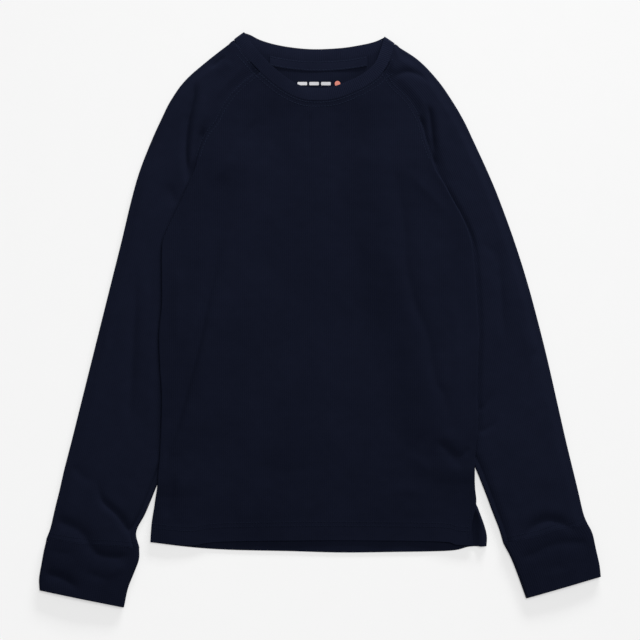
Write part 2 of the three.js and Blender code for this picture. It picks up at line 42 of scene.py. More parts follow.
# Sizes of the garment, most of them the same as in the part's source. Heights are those of the
# middle of the cloth's wall.
CLOTH = 1.2
RIB = 1.6
BAND = 1.8
TAPE_WALL = 0.6
LAYER_GAP = 0.6
SEAM_GAP = 0.3
TAPE_WIDTH = 11
LOW = CLOTH / 2
SLEEVE_HOLLOW = 1.6  # the space inside a pressed sleeve
SLEEVE_PRESSED = LOW + CLOTH + SLEEVE_HOLLOW
SLEEVE_AT_NECK = 4.1
SLEEVE_PUFF = 1.9  # how much fuller a sleeve is where no panel lies on it
PUFF_TO = {"left": 3.5, "right": 7}  # how near the body's edge the sleeve is full again
BACK_OVER_SLEEVE = SLEEVE_PRESSED + CLOTH + LAYER_GAP
BACK_LAP = LOW + CLOTH + SEAM_GAP
FRONT_MIDDLE = 3.4
FRONT_LAP = SLEEVE_AT_NECK + CLOTH + SEAM_GAP
FOLD_LENGTH = 2.8  # the strip along a side that turns toward the side seam
RAMP = 30  # how wide the back's slope is, up from the floor onto a sleeve
FRONT_RAMP = 60
HEM_DROP = 1.1  # the front hem sinks a little toward the back's
VENT_TOP = -203
SIDE_SEAM = SEAM_GAP / 2 + 0.3
NECK_SEAM = 0.2
HEM_TO = -186  # up to here the rows of a panel lean toward the curve of its hem
DIP_FROM = 150  # from here up they lean toward the curve of its neck
LIFT_LEFT = (-218, -174)  # where the panels' sides climb onto the sleeves
LIFT_RIGHT = (-206, -162)
FRONT_OVER_BACK = {LIFT_LEFT: 2.6, LIFT_RIGHT: 3.5}  # the left side is pressed flatter
FRONT_LIFT_WIDER = (-24, 60)  # the front panel drops to the floor more gently than the back

# Sizes of the sewing
TWIN_NEEDLES = 4.4  # between the two lines of a coverstitch
STITCH = 2.6
STITCH_GAP = 0.7
THREAD = 0.55
HEM_DEPTH = 20.5  # the turned-up hem, to the upper line of stitches
HEM_WALL = 1.5  # the wall there, where the cloth is double
BESIDE_SEAM = 2.2  # from a neck or raglan seam to the nearest line of stitches
BESIDE_CUFF = 2.0
BESIDE_VENT = 4.0
INSIDE_TAPE = 1.3  # from the edges of the tape to its stitches

# Slack waves and creases
WAVES, BROAD_WAVE, FINE_WAVE, FINE_SHARE = 0.35, 34, 11, 0.35
LATTICE = 64
CREASE_STEPS = 8  # between two drawn points
LIP_AWAY, LIP_WIDTH = 1.9, 1.5  # times the width of the crease


def table(names, rows):
    """A short table with named columns."""
    return dict(zip(names.split(), np.array(rows, float).T))


# The two seams of the neckband and its free edge, from fold to fold
NECK_FRONT = table("x y", [
    (-94, 307.5), (-83.5, 292.5), (-67, 274), (-50.5, 259.5), (-34, 248.5), (-17, 242), (3, 241),
    (20, 243.5), (35, 249), (50, 256), (64, 266), (74, 279), (79.5, 292), (82, 303)])
NECK_BACK = table("x y", [
    (-94, 307.5), (-84, 301.5), (-70, 295), (-50, 289.5), (-28, 286), (-4, 284.5), (26, 286),
    (50, 289.5), (66, 294), (75, 298.5), (82, 303)])
EDGE_FRONT = table("x y", [
    (-83, 315.5), (-73, 301), (-58, 284), (-43, 270.5), (-27.5, 260), (-14, 255.5), (3, 254.5),
    (16.5, 256.5), (30, 261.5), (43.5, 267.5), (55, 275.5), (62, 284), (67, 297), (71, 310.5)])
EDGE_BACK = table("x y", [
    (-83, 315.5), (-76, 313), (-65, 307.5), (-48, 302.5), (-27, 299), (-4, 297.5), (25, 299),
    (47, 302.5), (58, 305), (65, 307.5), (71, 310.5)])

# The two panels, hem to neck: the sides, and where the sleeve under the panel ends
PANEL_COLUMNS = "y left left_tuck right_tuck right"
BODY = [
    (-186, -179, -164, 155, 171), (-172, -178, -162, 154, 170.5), (-149, -176, -159, 152, 171),
    (-116, -174.5, -147, 136, 174), (-83, -174, -137, 127, 173), (-50, -176, -129, 119, 174),
    (-17, -177, -122, 111, 175), (16, -174, -114, 101, 173), (49, -174, -106, 92, 171),
    (82, -173.5, -96, 85, 167.5), (98, -168, -91, 82, 163), (115, -160, -87, 81, 155.5)]
FRONT = table(PANEL_COLUMNS, [
    (-246, -187, -170, 154, 169.5), (-225, -185.5, -169, 154, 168), (-203, -182, -166, 156, 172.5),
    *BODY,
    (131, -152.5, -87, 78, 146.5), (148, -145, -87, 76, 137.5), (164, -138, -89, 77, 128),
    (181, -133.5, -92, 78, 121), (192, -130, -94, 81, 117), (204, -124, -96, 83, 113.5),
    (216, -114.5, -94, 83, 110.5), (229, -108, -91, 82, 104.5), (243, -99, -84, 78, 95),
    (258, -85, -72, 67, 80), (273, -66, -54, 58, 70)])
BACK = table(PANEL_COLUMNS, [
    (-249, -187, -170, 168, 184), (-238, -186.5, -170, 168, 184.5), (-225, -185.5, -169, 164, 181),
    (-203, -182, -166, 156, 173),
    *BODY,
    (131, -150, -87, 80, 144), (148, -139, -89, 78, 130), (164, -124, -91, 80, 111),
    (178, -107.5, -94, 80, 92), (197, -110, -97, 84, 97), (216, -108, -95, 84, 96),
    (235, -102, -89, 79, 91), (256, -94, -81, 72, 84), (276, -86, -74, 66, 77),
    (296, -75, -64, 58, 69)])
HEM_FRONT = table("x y", [
    (-188, -245), (-143, -249), (-108, -245), (0, -243.5), (128, -244.5), (150, -248), (172, -249.5)])
HEM_BACK = table("x y", [
    (-188, -245.5), (-143, -251), (-99, -254), (-33, -255.5), (22, -257), (77, -256.5), (143, -255),
    (165, -250.5), (186, -250)])

# The sleeves, cuff to neck: the outer fold, the front edge of the upper layer and the back edge
# of the under layer, which are one fold where only the first is given
def sleeve_table(rows):
    return table("out_x out_y front_x front_y back_x back_y", [(*row, *row[2:])[:6] for row in rows])


SLEEVE_LEFT = sleeve_table([
    (-300.5, -232.2, -198.5, -251.7), (-295, -219, -202, -234), (-287.5, -192, -192, -214),
    (-281.5, -166, -182, -190), (-273, -133, -169, -157), (-262, -89, -153, -113),
    (-251, -45, -141, -69), (-240, -1, -131.5, -25), (-229, 43, -121, 19), (-218, 87, -109.5, 63),
    (-207.5, 131, -97, 107), (-198, 164, -100, 150), (-185, 197, -113, 187, -104, 190),
    (-175, 219, -117, 206, -103, 213), (-164, 241, -108, 219, -97, 233),
    (-148, 263, -94, 243, -89, 256), (-123, 285, -78, 259, -81, 277),
    (-94.8, 306.9, -62, 269.5, -70, 295)])
SLEEVE_RIGHT = sleeve_table([
    (294, -216.7, 202, -246.2), (290, -207, 197, -230), (285.5, -192, 190, -212),
    (279, -166, 181, -188), (271, -133, 167, -155), (261, -89, 143, -112), (251, -45, 129, -69),
    (240, -1, 120, -25), (228, 43, 107, 19), (214, 87, 95.5, 63), (198, 131, 89, 107),
    (186, 160, 88.5, 148), (169, 197, 99, 188, 91, 190), (158.5, 219, 105, 208, 91, 212),
    (145.5, 241, 101, 223, 86, 233), (130, 263, 90, 240, 79, 256), (109, 285, 76, 255, 72, 276),
    (82.8, 302.4, 65, 266, 63, 293)])
CUFF_COLUMNS = "out_x out_y in_x in_y"
CUFF_LEFT = table(CUFF_COLUMNS, [
    (-300.7, -232.6, -198.7, -252.1), (-303, -248, -199, -264), (-306, -267, -204, -278),
    (-309, -285, -211, -296), (-308.5, -298, -215.5, -317)])
CUFF_RIGHT = table(CUFF_COLUMNS, [
    (294.1, -217, 202.1, -246.5), (300, -233, 209, -259), (304, -252, 215.5, -275),
    (308, -270, 221, -290), (309.5, -283, 227, -307)])


# Curves through the tables
def mix(a, b, t):
    return a + (b - a) * t


def smooth(value, low, high):
    """0 up to low, 1 from high on, and an even curve between them."""
    t = np.clip((value - low) / (high - low), 0, 1)
    return t * t * (3 - 2 * t)


def along(column, place):
    """A column of a table at places between its rows, on a smooth curve through them."""
    last = len(column) - 1
    i = np.clip(np.floor(place), 0, last - 1).astype(int)
    f = place - i
    start, end = column[i], column[i + 1]
    before, after = column[np.maximum(i - 1, 0)], column[np.minimum(i + 2, last)]
    slope_start = np.where(i > 0, (end - before) / 2, end - start)
    slope_end = np.where(i + 1 < last, (after - start) / 2, end - start)
    bend = 3 * (end - start) - 2 * slope_start - slope_end
    twist = 2 * (start - end) + slope_start + slope_end
    return start + f * (slope_start + f * (bend + f * twist))


def place_of(column, value):
    """The places where a rising column has these values."""
    value = np.asarray(value, float)
    low, high = np.zeros_like(value), np.full_like(value, len(column) - 1)
    for _ in range(30):
        middle = (low + high) / 2
        under = along(column, middle) < value
        low, high = np.where(under, middle, low), np.where(under, high, middle)
    return (low + high) / 2


def line_y(line, x):
    return along(line["y"], place_of(line["x"], x))


def line_below(line, x, gap):
    """A line moved down so that it clears a piece on the line by a gap."""
    slope = line_y(line, x + 0.5) - line_y(line, x - 0.5)
    return line_y(line, x) - gap * np.hypot(1, slope)


def unit(vectors):
    return vectors / np.maximum(np.linalg.norm(vectors, axis=-1, keepdims=True), 1e-9)


# Creases
def crease(depth, width, ends, line, lip=0):
    """A crease drawn over the cloth: a trough where the depth is below zero, or else a ridge. The
    ends are the shares of its length over which it fades in and out. The lip is the height of a
    low ridge beside a trough, on its left hand, or on its right where the lip is below zero."""
    return {"line": np.array(line, float), "depth": depth, "width": width, "ends": ends, "lip": lip}


FRONT_CREASES = [
    # the print of the left sleeve's inner edge, down the body
    crease(-2.6, 6, (0.4, 0.2), [(-96, 115), (-118, 49), (-126, 16), (-133, -17), (-141, -50),
           (-150, -83), (-159, -116), (-169, -149), (-174, -165)], lip=1.1),
    crease(-2.0, 5, (0.4, 0.2), [(-122, 33), (-133, -17), (-141, -50), (-150, -83), (-159, -116),
           (-168, -145), (-173, -170)], lip=0.5),
    # the softer print of the right one
    crease(-1.0, 7.5, (0.4, 0.2), [(78, 214), (82, 197), (80, 164), (86, 148), (93, 98), (95, 60),
           (105, 16), (118, -17), (127, -67), (136, -83), (143, -116), (153, -140)], lip=0.4),
    crease(0.8, 9, (0.3, 0.35), [(94, 165), (108, 150), (124, 134), (146, 110)]),
    # the dimple over the right wrist of the sleeve
    crease(-1.5, 6.5, (0.3, 0.3), [(126, -132), (139, -142), (149, -153), (157, -167)], lip=0.5),
    crease(-0.9, 5.5, (0.3, 0.3), [(166, -140), (157, -149), (148, -154)]),
    crease(0.7, 9, (0.4, 0.4), [(98, -145), (111, -158), (124, -172)]),
    # the left side below the sleeve
    crease(-1.4, 6, (0.3, 0.3), [(-158, -168), (-164, -196), (-170, -224)], lip=0.6),
    # short soft ones of the chest, the waist and over the hem
    crease(-0.4, 4, (0.2, 0.5), [(-11, 232), (-12, 200), (-9, 160)]),
    crease(0.9, 10, (0.4, 0.4), [(-88, 186), (-101, 168), (-118, 150)]),
    crease(-0.8, 8, (0.4, 0.4), [(-60, 224), (-78, 206), (-90, 182)]),
    crease(1.0, 8, (0.4, 0.4), [(-150, 70), (-156, 20), (-157, -40)]),
    crease(0.8, 9, (0.4, 0.4), [(146, 30), (150, -20), (149, -70)]),
    crease(-0.5, 14, (0.5, 0.5), [(30, 120), (44, 60), (40, -10)]),
    crease(0.5, 16, (0.5, 0.5), [(-40, 90), (-56, 20), (-50, -60)]),
    crease(-0.5, 12, (0.5, 0.5), [(-90, -150), (-40, -166), (20, -160)]),
    crease(0.6, 9, (0.5, 0.5), [(60, -196), (96, -188), (130, -200)]),
]
LEFT_ARM_CREASES = [
    # the hollows beside the body's edge
    crease(-2.6, 5, (0.2, 0.3), [(-127, 214), (-131, 200), (-134, 184), (-139, 166), (-146, 146)]),
    crease(0.5, 7, (0.3, 0.3), [(-187, 40), (-186, -20), (-187, -80), (-189, -140)]),
    crease(-3.0, 4.5, (0.3, 0.25), [(-138, 268), (-138, 247), (-142, 230), (-145, 214), (-147, 188),
           (-146, 164), (-144, 145)], lip=1.3),
    crease(-1.1, 9, (0.5, 0.3), [(-172, 152), (-163, 138), (-157, 122)]),
    crease(-1.8, 4, (0.3, 0.4), [(-103, 291), (-112, 283), (-121, 274)], lip=0.6),
    crease(-1.6, 8, (0.4, 0.3), [(-201, 70), (-205, -23), (-211, -133)], lip=0.5),
    crease(-0.6, 6, (0.5, 0.5), [(-184, 90), (-186, 20), (-190, -60)]),
    crease(1.0, 9, (0.4, 0.4), [(-226, 60), (-234, 10), (-240, -60)]),
    crease(-0.8, 7, (0.2, 0.4), [(-272, -160), (-262, -172), (-246, -180)]),
    # the wrist: a long fold that runs into the notch, and the cloth bunched over the cuff
    crease(-2.3, 4.5, (0.5, 0.02), [(-246, -170), (-243, -184), (-239, -199), (-222, -215), (-211, -230),
           (-202, -235)], lip=0.3),
    crease(-2.2, 8.5, (0.12, 0.2), [(-295, -218), (-281, -224), (-268, -230), (-258, -239), (-252, -250),
           (-243, -259), (-226, -262), (-205, -259)], lip=0.2),
    crease(-0.5, 6, (0.2, 0.4), [(-299, -254), (-284, -257), (-268, -258)]),
    crease(-1.9, 7, (0.15, 0.4), [(-304, -279), (-287, -283), (-273, -291), (-262, -301)], lip=0.3),
    crease(-0.8, 6, (0.4, 0.4), [(-262, -276), (-244, -283), (-226, -290)]),
    crease(1.0, 6, (0.4, 0.4), [(-232, -284), (-222, -274), (-214, -268)]),
]
RIGHT_ARM_CREASES = [
    crease(-2.6, 5, (0.2, 0.3), [(106, 226), (113, 212), (116, 196), (122, 180), (131, 163)]),
    crease(-3.0, 4.2, (0.3, 0.3), [(117, 238), (121, 228), (123, 214), (125, 197), (127, 178)], lip=0.6),
    crease(-1.4, 5, (0.2, 0.4), [(80, 264), (88, 270), (98, 272), (110, 268), (122, 257)], lip=0.3),
    crease(-1.4, 7, (0.4, 0.4), [(195, 90), (200, 21), (204, -40)], lip=0.6),
    crease(-0.6, 8, (0.5, 0.5), [(174, 88), (187, 77), (199, 63)]),
    crease(1.0, 9, (0.4, 0.4), [(222, 10), (231, -40), (238, -90)]),
    # beside the body's edge, and two short ones out of it
    crease(-0.6, 2.6, (0.15, 0.15), [(150, 122), (164, 100), (172, 74), (175, 45), (177, 10),
           (177.5, -20), (176, -60), (175.5, -100), (174, -140)]),
    crease(-0.9, 4, (0.05, 0.6), [(176, -101), (184, -92), (193, -74)]),
    crease(-0.9, 4.5, (0.05, 0.6), [(176, -125), (186, -119), (198, -111)]),
    crease(-1.0, 6, (0.3, 0.5), [(240, -28), (232, -46), (226, -70)]),
    # the wrist
    crease(-2.3, 6, (0.3, 0.4), [(223, -244), (228, -235), (236, -227), (249, -221), (263, -223),
           (276, -230), (286, -238)], lip=0.4),
    crease(-1.2, 8, (0.2, 0.1), [(216, -262), (233, -259), (251, -250), (272, -246), (297, -246)]),
    crease(-0.3, 7, (0.4, 0.4), [(252, -266), (264, -272), (278, -274)]),
    crease(0.4, 10, (0.4, 0.4), [(240, -282), (262, -280), (288, -270)]),
]
BACK_CREASES = [
    # the corner of the back hem curls up at the open vent
    crease(4.6, 4.4, (0.12, 0.01), [(170.5, -204), (173.5, -211), (176, -219), (177.7, -229),
           (178.3, -240), (178.3, -256)]),
    crease(0.6, 8, (0.3, 0.3), [(-70, 270), (-40, 258), (0, 262), (46, 272)]),
]


def crease_height(drawn, x, y):
    """How far one crease moves the cloth at points x, y."""
    line = drawn["line"]
    place = np.linspace(0, len(line) - 1, CREASE_STEPS * (len(line) - 1) + 1)
    path = np.stack([along(line[:, 0], place), along(line[:, 1], place)], 1)
    step = np.diff(path, axis=0)
    length = np.linalg.norm(step, axis=1)
    start = np.concatenate([[0], np.cumsum(length)])
    nearest = np.full(x.shape, 1e9)
    beside, share = np.zeros(x.shape), np.zeros(x.shape)
    for (ax, ay), (dx, dy), run, before in zip(path, step, length, start):
        t = np.clip(((x - ax) * dx + (y - ay) * dy) / run ** 2, 0, 1)
        away = np.hypot(x - ax - t * dx, y - ay - t * dy)
        closer = away < nearest
        turn = dx * (y - ay) - dy * (x - ax)
        nearest = np.where(closer, away, nearest)
        beside = np.where(closer, away * np.sign(turn), beside)
        share = np.where(closer, (before + t * run) / start[-1], share)
    wide = drawn["width"]
    fade_in, fade_out = drawn["ends"]
    strength = smooth(share, 0, fade_in + 1e-6) * smooth(1 - share, 0, fade_out + 1e-6)
    round_part = 0.65 * np.exp(-(beside / wide) ** 2)
    sharp_part = 0.35 * np.exp(-(2.2 * beside / wide) ** 2)
    form = drawn["depth"] * (round_part + sharp_part)
    lip = drawn["lip"]
    from_lip = beside - math.copysign(LIP_AWAY * wide, lip or 1)
    form += abs(lip) * np.exp(-(from_lip / (LIP_WIDTH * wide)) ** 2)
    return form * strength * np.exp(-np.maximum(nearest - 4 * wide, 0) / wide)


def soft_waves(x, y, size, seed):
    """Uneven low waves from about -1 to 1, this many millimetres across."""
    dice = np.random.default_rng(seed)
    lattice = dice.uniform(-1, 1, (LATTICE, LATTICE))
    u, v = x / size + LATTICE // 2, y / size + LATTICE // 2
    i, j = np.floor(u).astype(int) % (LATTICE - 1), np.floor(v).astype(int) % (LATTICE - 1)
    fu, fv = u - np.floor(u), v - np.floor(v)
    fu, fv = fu * fu * (3 - 2 * fu), fv * fv * (3 - 2 * fv)
    low = mix(lattice[i, j], lattice[i + 1, j], fu)
    high = mix(lattice[i, j + 1], lattice[i + 1, j + 1], fu)
    return mix(low, high, fv)


def relief(creases, x, y, seed):
    """The height of slack waves and creases over the smooth form of a piece."""
    height = WAVES * soft_waves(x, y, BROAD_WAVE, seed)
    height = height + FINE_SHARE * WAVES * soft_waves(x, y, FINE_WAVE, seed + 1)
    for drawn in creases:
        height = height + crease_height(drawn, x, y)
    return height


# Panels
FOLD_STEPS = np.array([0, 0.14, 0.28, 0.42, 0.56, 0.7, 0.85])


def side_heights(y, side):
    """How high the front and the back panel lie along a side."""
    wide = (side[0] + FRONT_LIFT_WIDER[0], side[1] + FRONT_LIFT_WIDER[1])
    front = mix(FRONT_MIDDLE, BACK_OVER_SLEEVE + FRONT_OVER_BACK[side], smooth(y, *wide))
    back = mix(LOW, BACK_OVER_SLEEVE, smooth(y, *side))
    return np.maximum(front, back + CLOTH + LAYER_GAP), back


# For the rows of a panel beside one side: its height in the middle, its height over the sleeve, the
# radius and the angle of the turned edge, and 1 where that turns down, or -1 where it turns up
def front_heights(y, side):
    on_body, on_sleeve = side_heights(y, side)
    middle = FRONT_MIDDLE - HEM_DROP * (1 - smooth(y, -246, -200))
    high = mix(on_body, FRONT_LAP, smooth(y, 160, 240))
    radius = (on_body - on_sleeve) / 2 - SIDE_SEAM
    joined = smooth(y, VENT_TOP - 8, VENT_TOP + 14) * (1 - smooth(y, 150, 200))
    return middle, high, radius, joined * math.pi / 2, 1


def back_heights(y, side):
    on_body, on_sleeve = side_heights(y, side)
    high = mix(on_sleeve, BACK_LAP, smooth(y, 178, 199))
    radius = (on_body - on_sleeve) / 2 - SIDE_SEAM
    joined = smooth(y, VENT_TOP - 8, VENT_TOP + 14) * (1 - smooth(y, 115, 150))
    return np.full_like(y, LOW), high, radius, joined * math.pi / 2, -1


def turned_edge(edge, side, radius, angle):
    """The strip along a side that turns toward the side seam: x, how far down, and where it starts."""
    flat = FOLD_LENGTH - radius * angle
    reach = flat + radius * np.sin(angle)
    flat, reach, radius, edge = (v[:, None] for v in (flat, reach, radius, edge))
    run = FOLD_LENGTH * (1 - FOLD_STEPS)[None, :]
    bent = np.maximum(run - flat, 0) / radius
    inward = reach - np.minimum(run, flat) - radius * np.sin(bent)
    return edge - side * inward, radius * (1 - np.cos(bent)), (edge - side * reach)[:, 0]


def panel_net(panel, neck, hem, heights, ramp, creases, step, seed, deepest, fade):
    """The middle of a panel's cloth: rows of points from the hem to the neck, left to right. No
    crease goes deeper than the deepest, and all fade out toward the sides."""
    bottom, top = panel["y"][0], panel["y"][-1]
    y = np.linspace(bottom, top, int((top - bottom) / step) + 1)
    place = place_of(panel["y"], y)
    left, left_tuck, right_tuck, right = (along(panel[n], place) for n in PANEL_COLUMNS.split()[1:])
    middle, high_left, radius_left, angle_left, way = heights(y, LIFT_LEFT)
    middle, high_right, radius_right, angle_right, way = heights(y, LIFT_RIGHT)
    x_left, down_left, from_x = turned_edge(left + CLOTH / 2, -1, radius_left, angle_left)
    x_right, down_right, to_x = turned_edge(right - CLOTH / 2, 1, radius_right, angle_right)
    count = int((right.max() - left.min()) / step)
    x_middle = mix(from_x[:, None], to_x[:, None], np.linspace(0, 1, count)[None, :])
    x = np.hstack([x_left, x_middle, x_right[:, ::-1]])
    down = np.hstack([down_left, np.zeros_like(x_middle), down_right[:, ::-1]])
    rise_left = 1 - smooth(x, left_tuck[:, None], left_tuck[:, None] + ramp)
    rise_right = smooth(x, right_tuck[:, None] - ramp, right_tuck[:, None])
    high = np.where(rise_left > rise_right, high_left[:, None], high_right[:, None])
    z = mix(middle[:, None], high, np.maximum(rise_left, rise_right)) - way * down
    share = (x - left[:, None]) / (right - left)[:, None]
    neck_x = mix(left[-1], right[-1], share)
    hem_x = mix(left[0], right[0], share)
    dip = np.maximum((y - DIP_FROM) / (top - DIP_FROM), 0)[:, None] ** 1.6
    hem_share = (1 - smooth(y, bottom, HEM_TO))[:, None]
    moved = y[:, None] + dip * (line_below(neck, neck_x, NECK_SEAM) - top)
    moved = moved + hem_share * (line_y(hem, hem_x) - bottom)
    inside = smooth(np.minimum(x - left[:, None], right[:, None] - x), *fade)
    inside = inside * smooth(top - y, 0, 12)[:, None]
    z = np.maximum(z + inside * relief(creases, x, moved, seed), z - deepest)
    return np.stack([x, moved, z], 2)


# Sleeves
INNER_FOLD = [18, 32, 47, 62, 77]
OUTER_FOLD = [-78, -60, -42, -25, -8, 10, 28, 45, 60, 75]
UNDER_STEPS = np.linspace(0.03, 0.96, 24)
FREE_STEPS = np.concatenate([
    np.linspace(0.03, 0.14, 5), np.linspace(0.17, 0.86, 30), np.linspace(0.89, 1, 5)])
COVERED_STEPS = np.linspace(0.1, 1, 12)
RAGLAN_STRIP = 3  # the strip along the raglan edge that lies flat where the sleeve is no tube
SAG_REACH = 18  # how far from a cuff seam its sag still moves the cloth


# Each cuff seam runs from its outer to its inner end, and sags by this much in between
SEAM_SAG = {
    "left": ((-300.5, -232), (-198.5, -251.5),
             table("x drop", [(-306, -8), (-280, -8.5), (-258, -7.5), (-225, -3), (-195, 0)])),
    "right": ((294, -216.5), (202, -246),
              table("x drop", [(200, 0), (222, -3), (241, -5), (259, -4.5), (284, -8), (298, -5)]))}


def sagged(at, side):
    """Points near a cuff seam, moved down with it."""
    out, inner, sag = SEAM_SAG[side]
    across = unit(np.array(inner, float) - out)
    away = across[0] * (at[:, 1] - out[1]) - across[1] * (at[:, 0] - out[0])
    x = np.clip(at[:, 0], sag["x"][0], sag["x"][-1])
    drop = along(sag["drop"], place_of(sag["x"], x)) * np.exp(-(away / SAG_REACH) ** 2)
    return np.stack([at[:, 0], at[:, 1] + drop], 1)


def pair(columns, name, place):
    return np.stack([along(columns[name + "_x"], place), along(columns[name + "_y"], place)], 1)


def cover_share(start, end, edge):
    """How far along a row the side of the front panel begins to cover the sleeve."""
    side = -1 if edge == "left" else 1
    low, high = np.zeros(len(start)), np.ones(len(start))
    for _ in range(20):
        middle = (low + high) / 2
        at = mix(start, end, middle[:, None])
        side_x = along(FRONT[edge], place_of(FRONT["y"], at[:, 1]))
        free = side * (at[:, 0] - side_x) > 0
        low, high = np.where(free, middle, low), np.where(free, high, middle)
    return np.minimum(low, 0.95)


def sleeve_net(sleeve, edge, creases, step, seed):
    """The middle of a sleeve's cloth: each row runs from the underarm along the under layer, round
    the outer fold and back along the upper layer."""
    last = len(sleeve["out_x"]) - 1
    tried = np.linspace(0, last, 900)
    path = pair(sleeve, "out", tried)
    run = np.concatenate([[0], np.cumsum(np.linalg.norm(np.diff(path, axis=0), axis=1))])
    place = np.interp(np.linspace(0, run[-1], int(run[-1] / step) + 1), run, tried)
    share = place / last
    out, front, back = (pair(sleeve, name, place) for name in ("out", "front", "back"))
    tube = (1 - smooth(share, 0.6, 0.7))[:, None]
    top = mix(SLEEVE_PRESSED, SLEEVE_AT_NECK, smooth(share, 0.7, 0.86))
    middle, radius = (LOW + top) / 2, (top - LOW) / 2
    inward = unit(front - out)
    inset = (radius + CLOTH / 2)[:, None]
    outer_fold, inner_fold = out + inward * inset, front - inward * inset
    upper_stop = mix(front, inner_fold, tube) - RAGLAN_STRIP * inward * (1 - tube)
    edge_step = unit(out - back)
    under_start = mix(back + RAGLAN_STRIP * edge_step, inner_fold, tube)
    at_neck = smooth(share, 0.972, 1)[:, None]

    def to_neck(at, neck):
        curve = np.stack([at[:, 0], line_below(neck, at[:, 0], NECK_SEAM)], 1)
        return mix(at, curve, at_neck)

    rows = []

    def add(at, z):
        rows.append(np.column_stack([sagged(at, edge), z]))

    def turn(fold, way, degrees, flat, flat_z, bent):
        angle = math.radians(degrees)
        at = fold + way * inward * (radius * math.cos(angle))[:, None]
        add(mix(flat, at, bent), mix(flat_z, middle + radius * math.sin(angle), bent[:, 0]))

    for k, degrees in enumerate(INNER_FOLD):
        flat = to_neck(back + edge_step * (RAGLAN_STRIP * k / len(INNER_FOLD)), NECK_BACK)
        turn(inner_fold, 1, -degrees, flat, np.full_like(top, LOW), tube)
    for f in UNDER_STEPS:
        add(to_neck(mix(under_start, outer_fold, f), NECK_BACK), np.full_like(top, LOW))
    for degrees in OUTER_FOLD:
        turn(outer_fold, -1, degrees, outer_fold, middle, np.ones_like(tube))
    cover = cover_share(outer_fold, upper_stop, edge)
    wide = np.linalg.norm(upper_stop - outer_fold, axis=1)
    for f in FREE_STEPS:
        reach = f * cover
        at = to_neck(mix(outer_fold, upper_stop, reach[:, None]), NECK_FRONT)
        from_edge = (cover - reach) * wide
        puff = mix(smooth(from_edge, 0.5, 14), smooth(from_edge, -3, PUFF_TO[edge]), tube[:, 0])
        puff = puff * smooth(reach * wide, 0, 11)
        near = smooth(from_edge, -1, 2) * smooth(reach * wide, 0, 9)
        laid = sagged(at, edge)
        z = top + SLEEVE_PUFF * puff + near * relief(creases, laid[:, 0], laid[:, 1], seed)
        add(at, np.maximum(z, LOW + CLOTH + SEAM_GAP))
    for f in COVERED_STEPS:
        add(to_neck(mix(outer_fold, upper_stop, mix(cover, 1, f)[:, None]), NECK_FRONT), top)
    for k, degrees in enumerate(reversed(INNER_FOLD)):
        flat = to_neck(upper_stop + inward * (RAGLAN_STRIP * (k + 1) / len(INNER_FOLD)), NECK_FRONT)
        turn(inner_fold, 1, degrees, flat, top, tube)
    return np.stack(rows, 1)


# Cuffs and neckband
CUFF_RADIUS = 2  # of its two folds
CUFF_PUFF = 1.1
CUFF_REACH = 0.015  # the share of a table row by which the cuff comes nearer to the sleeve


def cuff_net(cuff, edge, creases, count, seed):
    """A flattened ring: each section runs out along the under side and back along the upper side."""
    place = np.linspace(-CUFF_REACH, len(cuff["out_x"]) - 1, count)
    from_seam = 0.5 + 0.5 * smooth(place, 0, 2)
    out, inner = pair(cuff, "out", place), pair(cuff, "in", place)
    axis = unit(inner - out)
    out_fold = out + axis * (CUFF_RADIUS + RIB / 2)
    in_fold = inner - axis * (CUFF_RADIUS + RIB / 2)
    middle = RIB / 2 + CUFF_RADIUS
    rows = []

    def add(at, z):
        rows.append(np.column_stack([sagged(at, edge), np.broadcast_to(z, len(at))]))

    def turn(fold, way, degrees):
        angle = math.radians(degrees)
        add(fold + way * CUFF_RADIUS * math.cos(angle) * axis, middle + CUFF_RADIUS * math.sin(angle))

    for degrees in (0, -22, -45, -68):
        turn(in_fold, 1, degrees)
    for f in np.linspace(0, 1, 14):
        add(mix(in_fold, out_fold, f), RIB / 2)
    for degrees in (-68, -45, -22, 0, 22, 45, 68):
        turn(out_fold, -1, degrees)
    for f in np.linspace(0, 1, 42):
        at = mix(out_fold, in_fold, f)
        puff = math.sin(math.pi * f) ** 0.8
        near = smooth(min(f, 1 - f), 0, 0.1)
        laid = sagged(at, edge)
        z = middle + CUFF_RADIUS + CUFF_PUFF * from_seam * puff
        z = z + near * relief(creases, laid[:, 0], laid[:, 1], seed)
        add(at, np.maximum(z, RIB * 1.5 + SEAM_GAP))
    for degrees in (68, 45, 22):
        turn(in_fold, 1, degrees)
    return np.stack(rows, 1)


BAND_LOW = BAND / 2
BAND_HIGH = 5.4
BAND_MIDDLE = 3.4  # its height at the middle of the front, level with the panel
BAND_INSET = 2.2  # how far a fold of the band lies inside the end of its line
BAND_ACROSS = np.linspace(0, 1, 11)


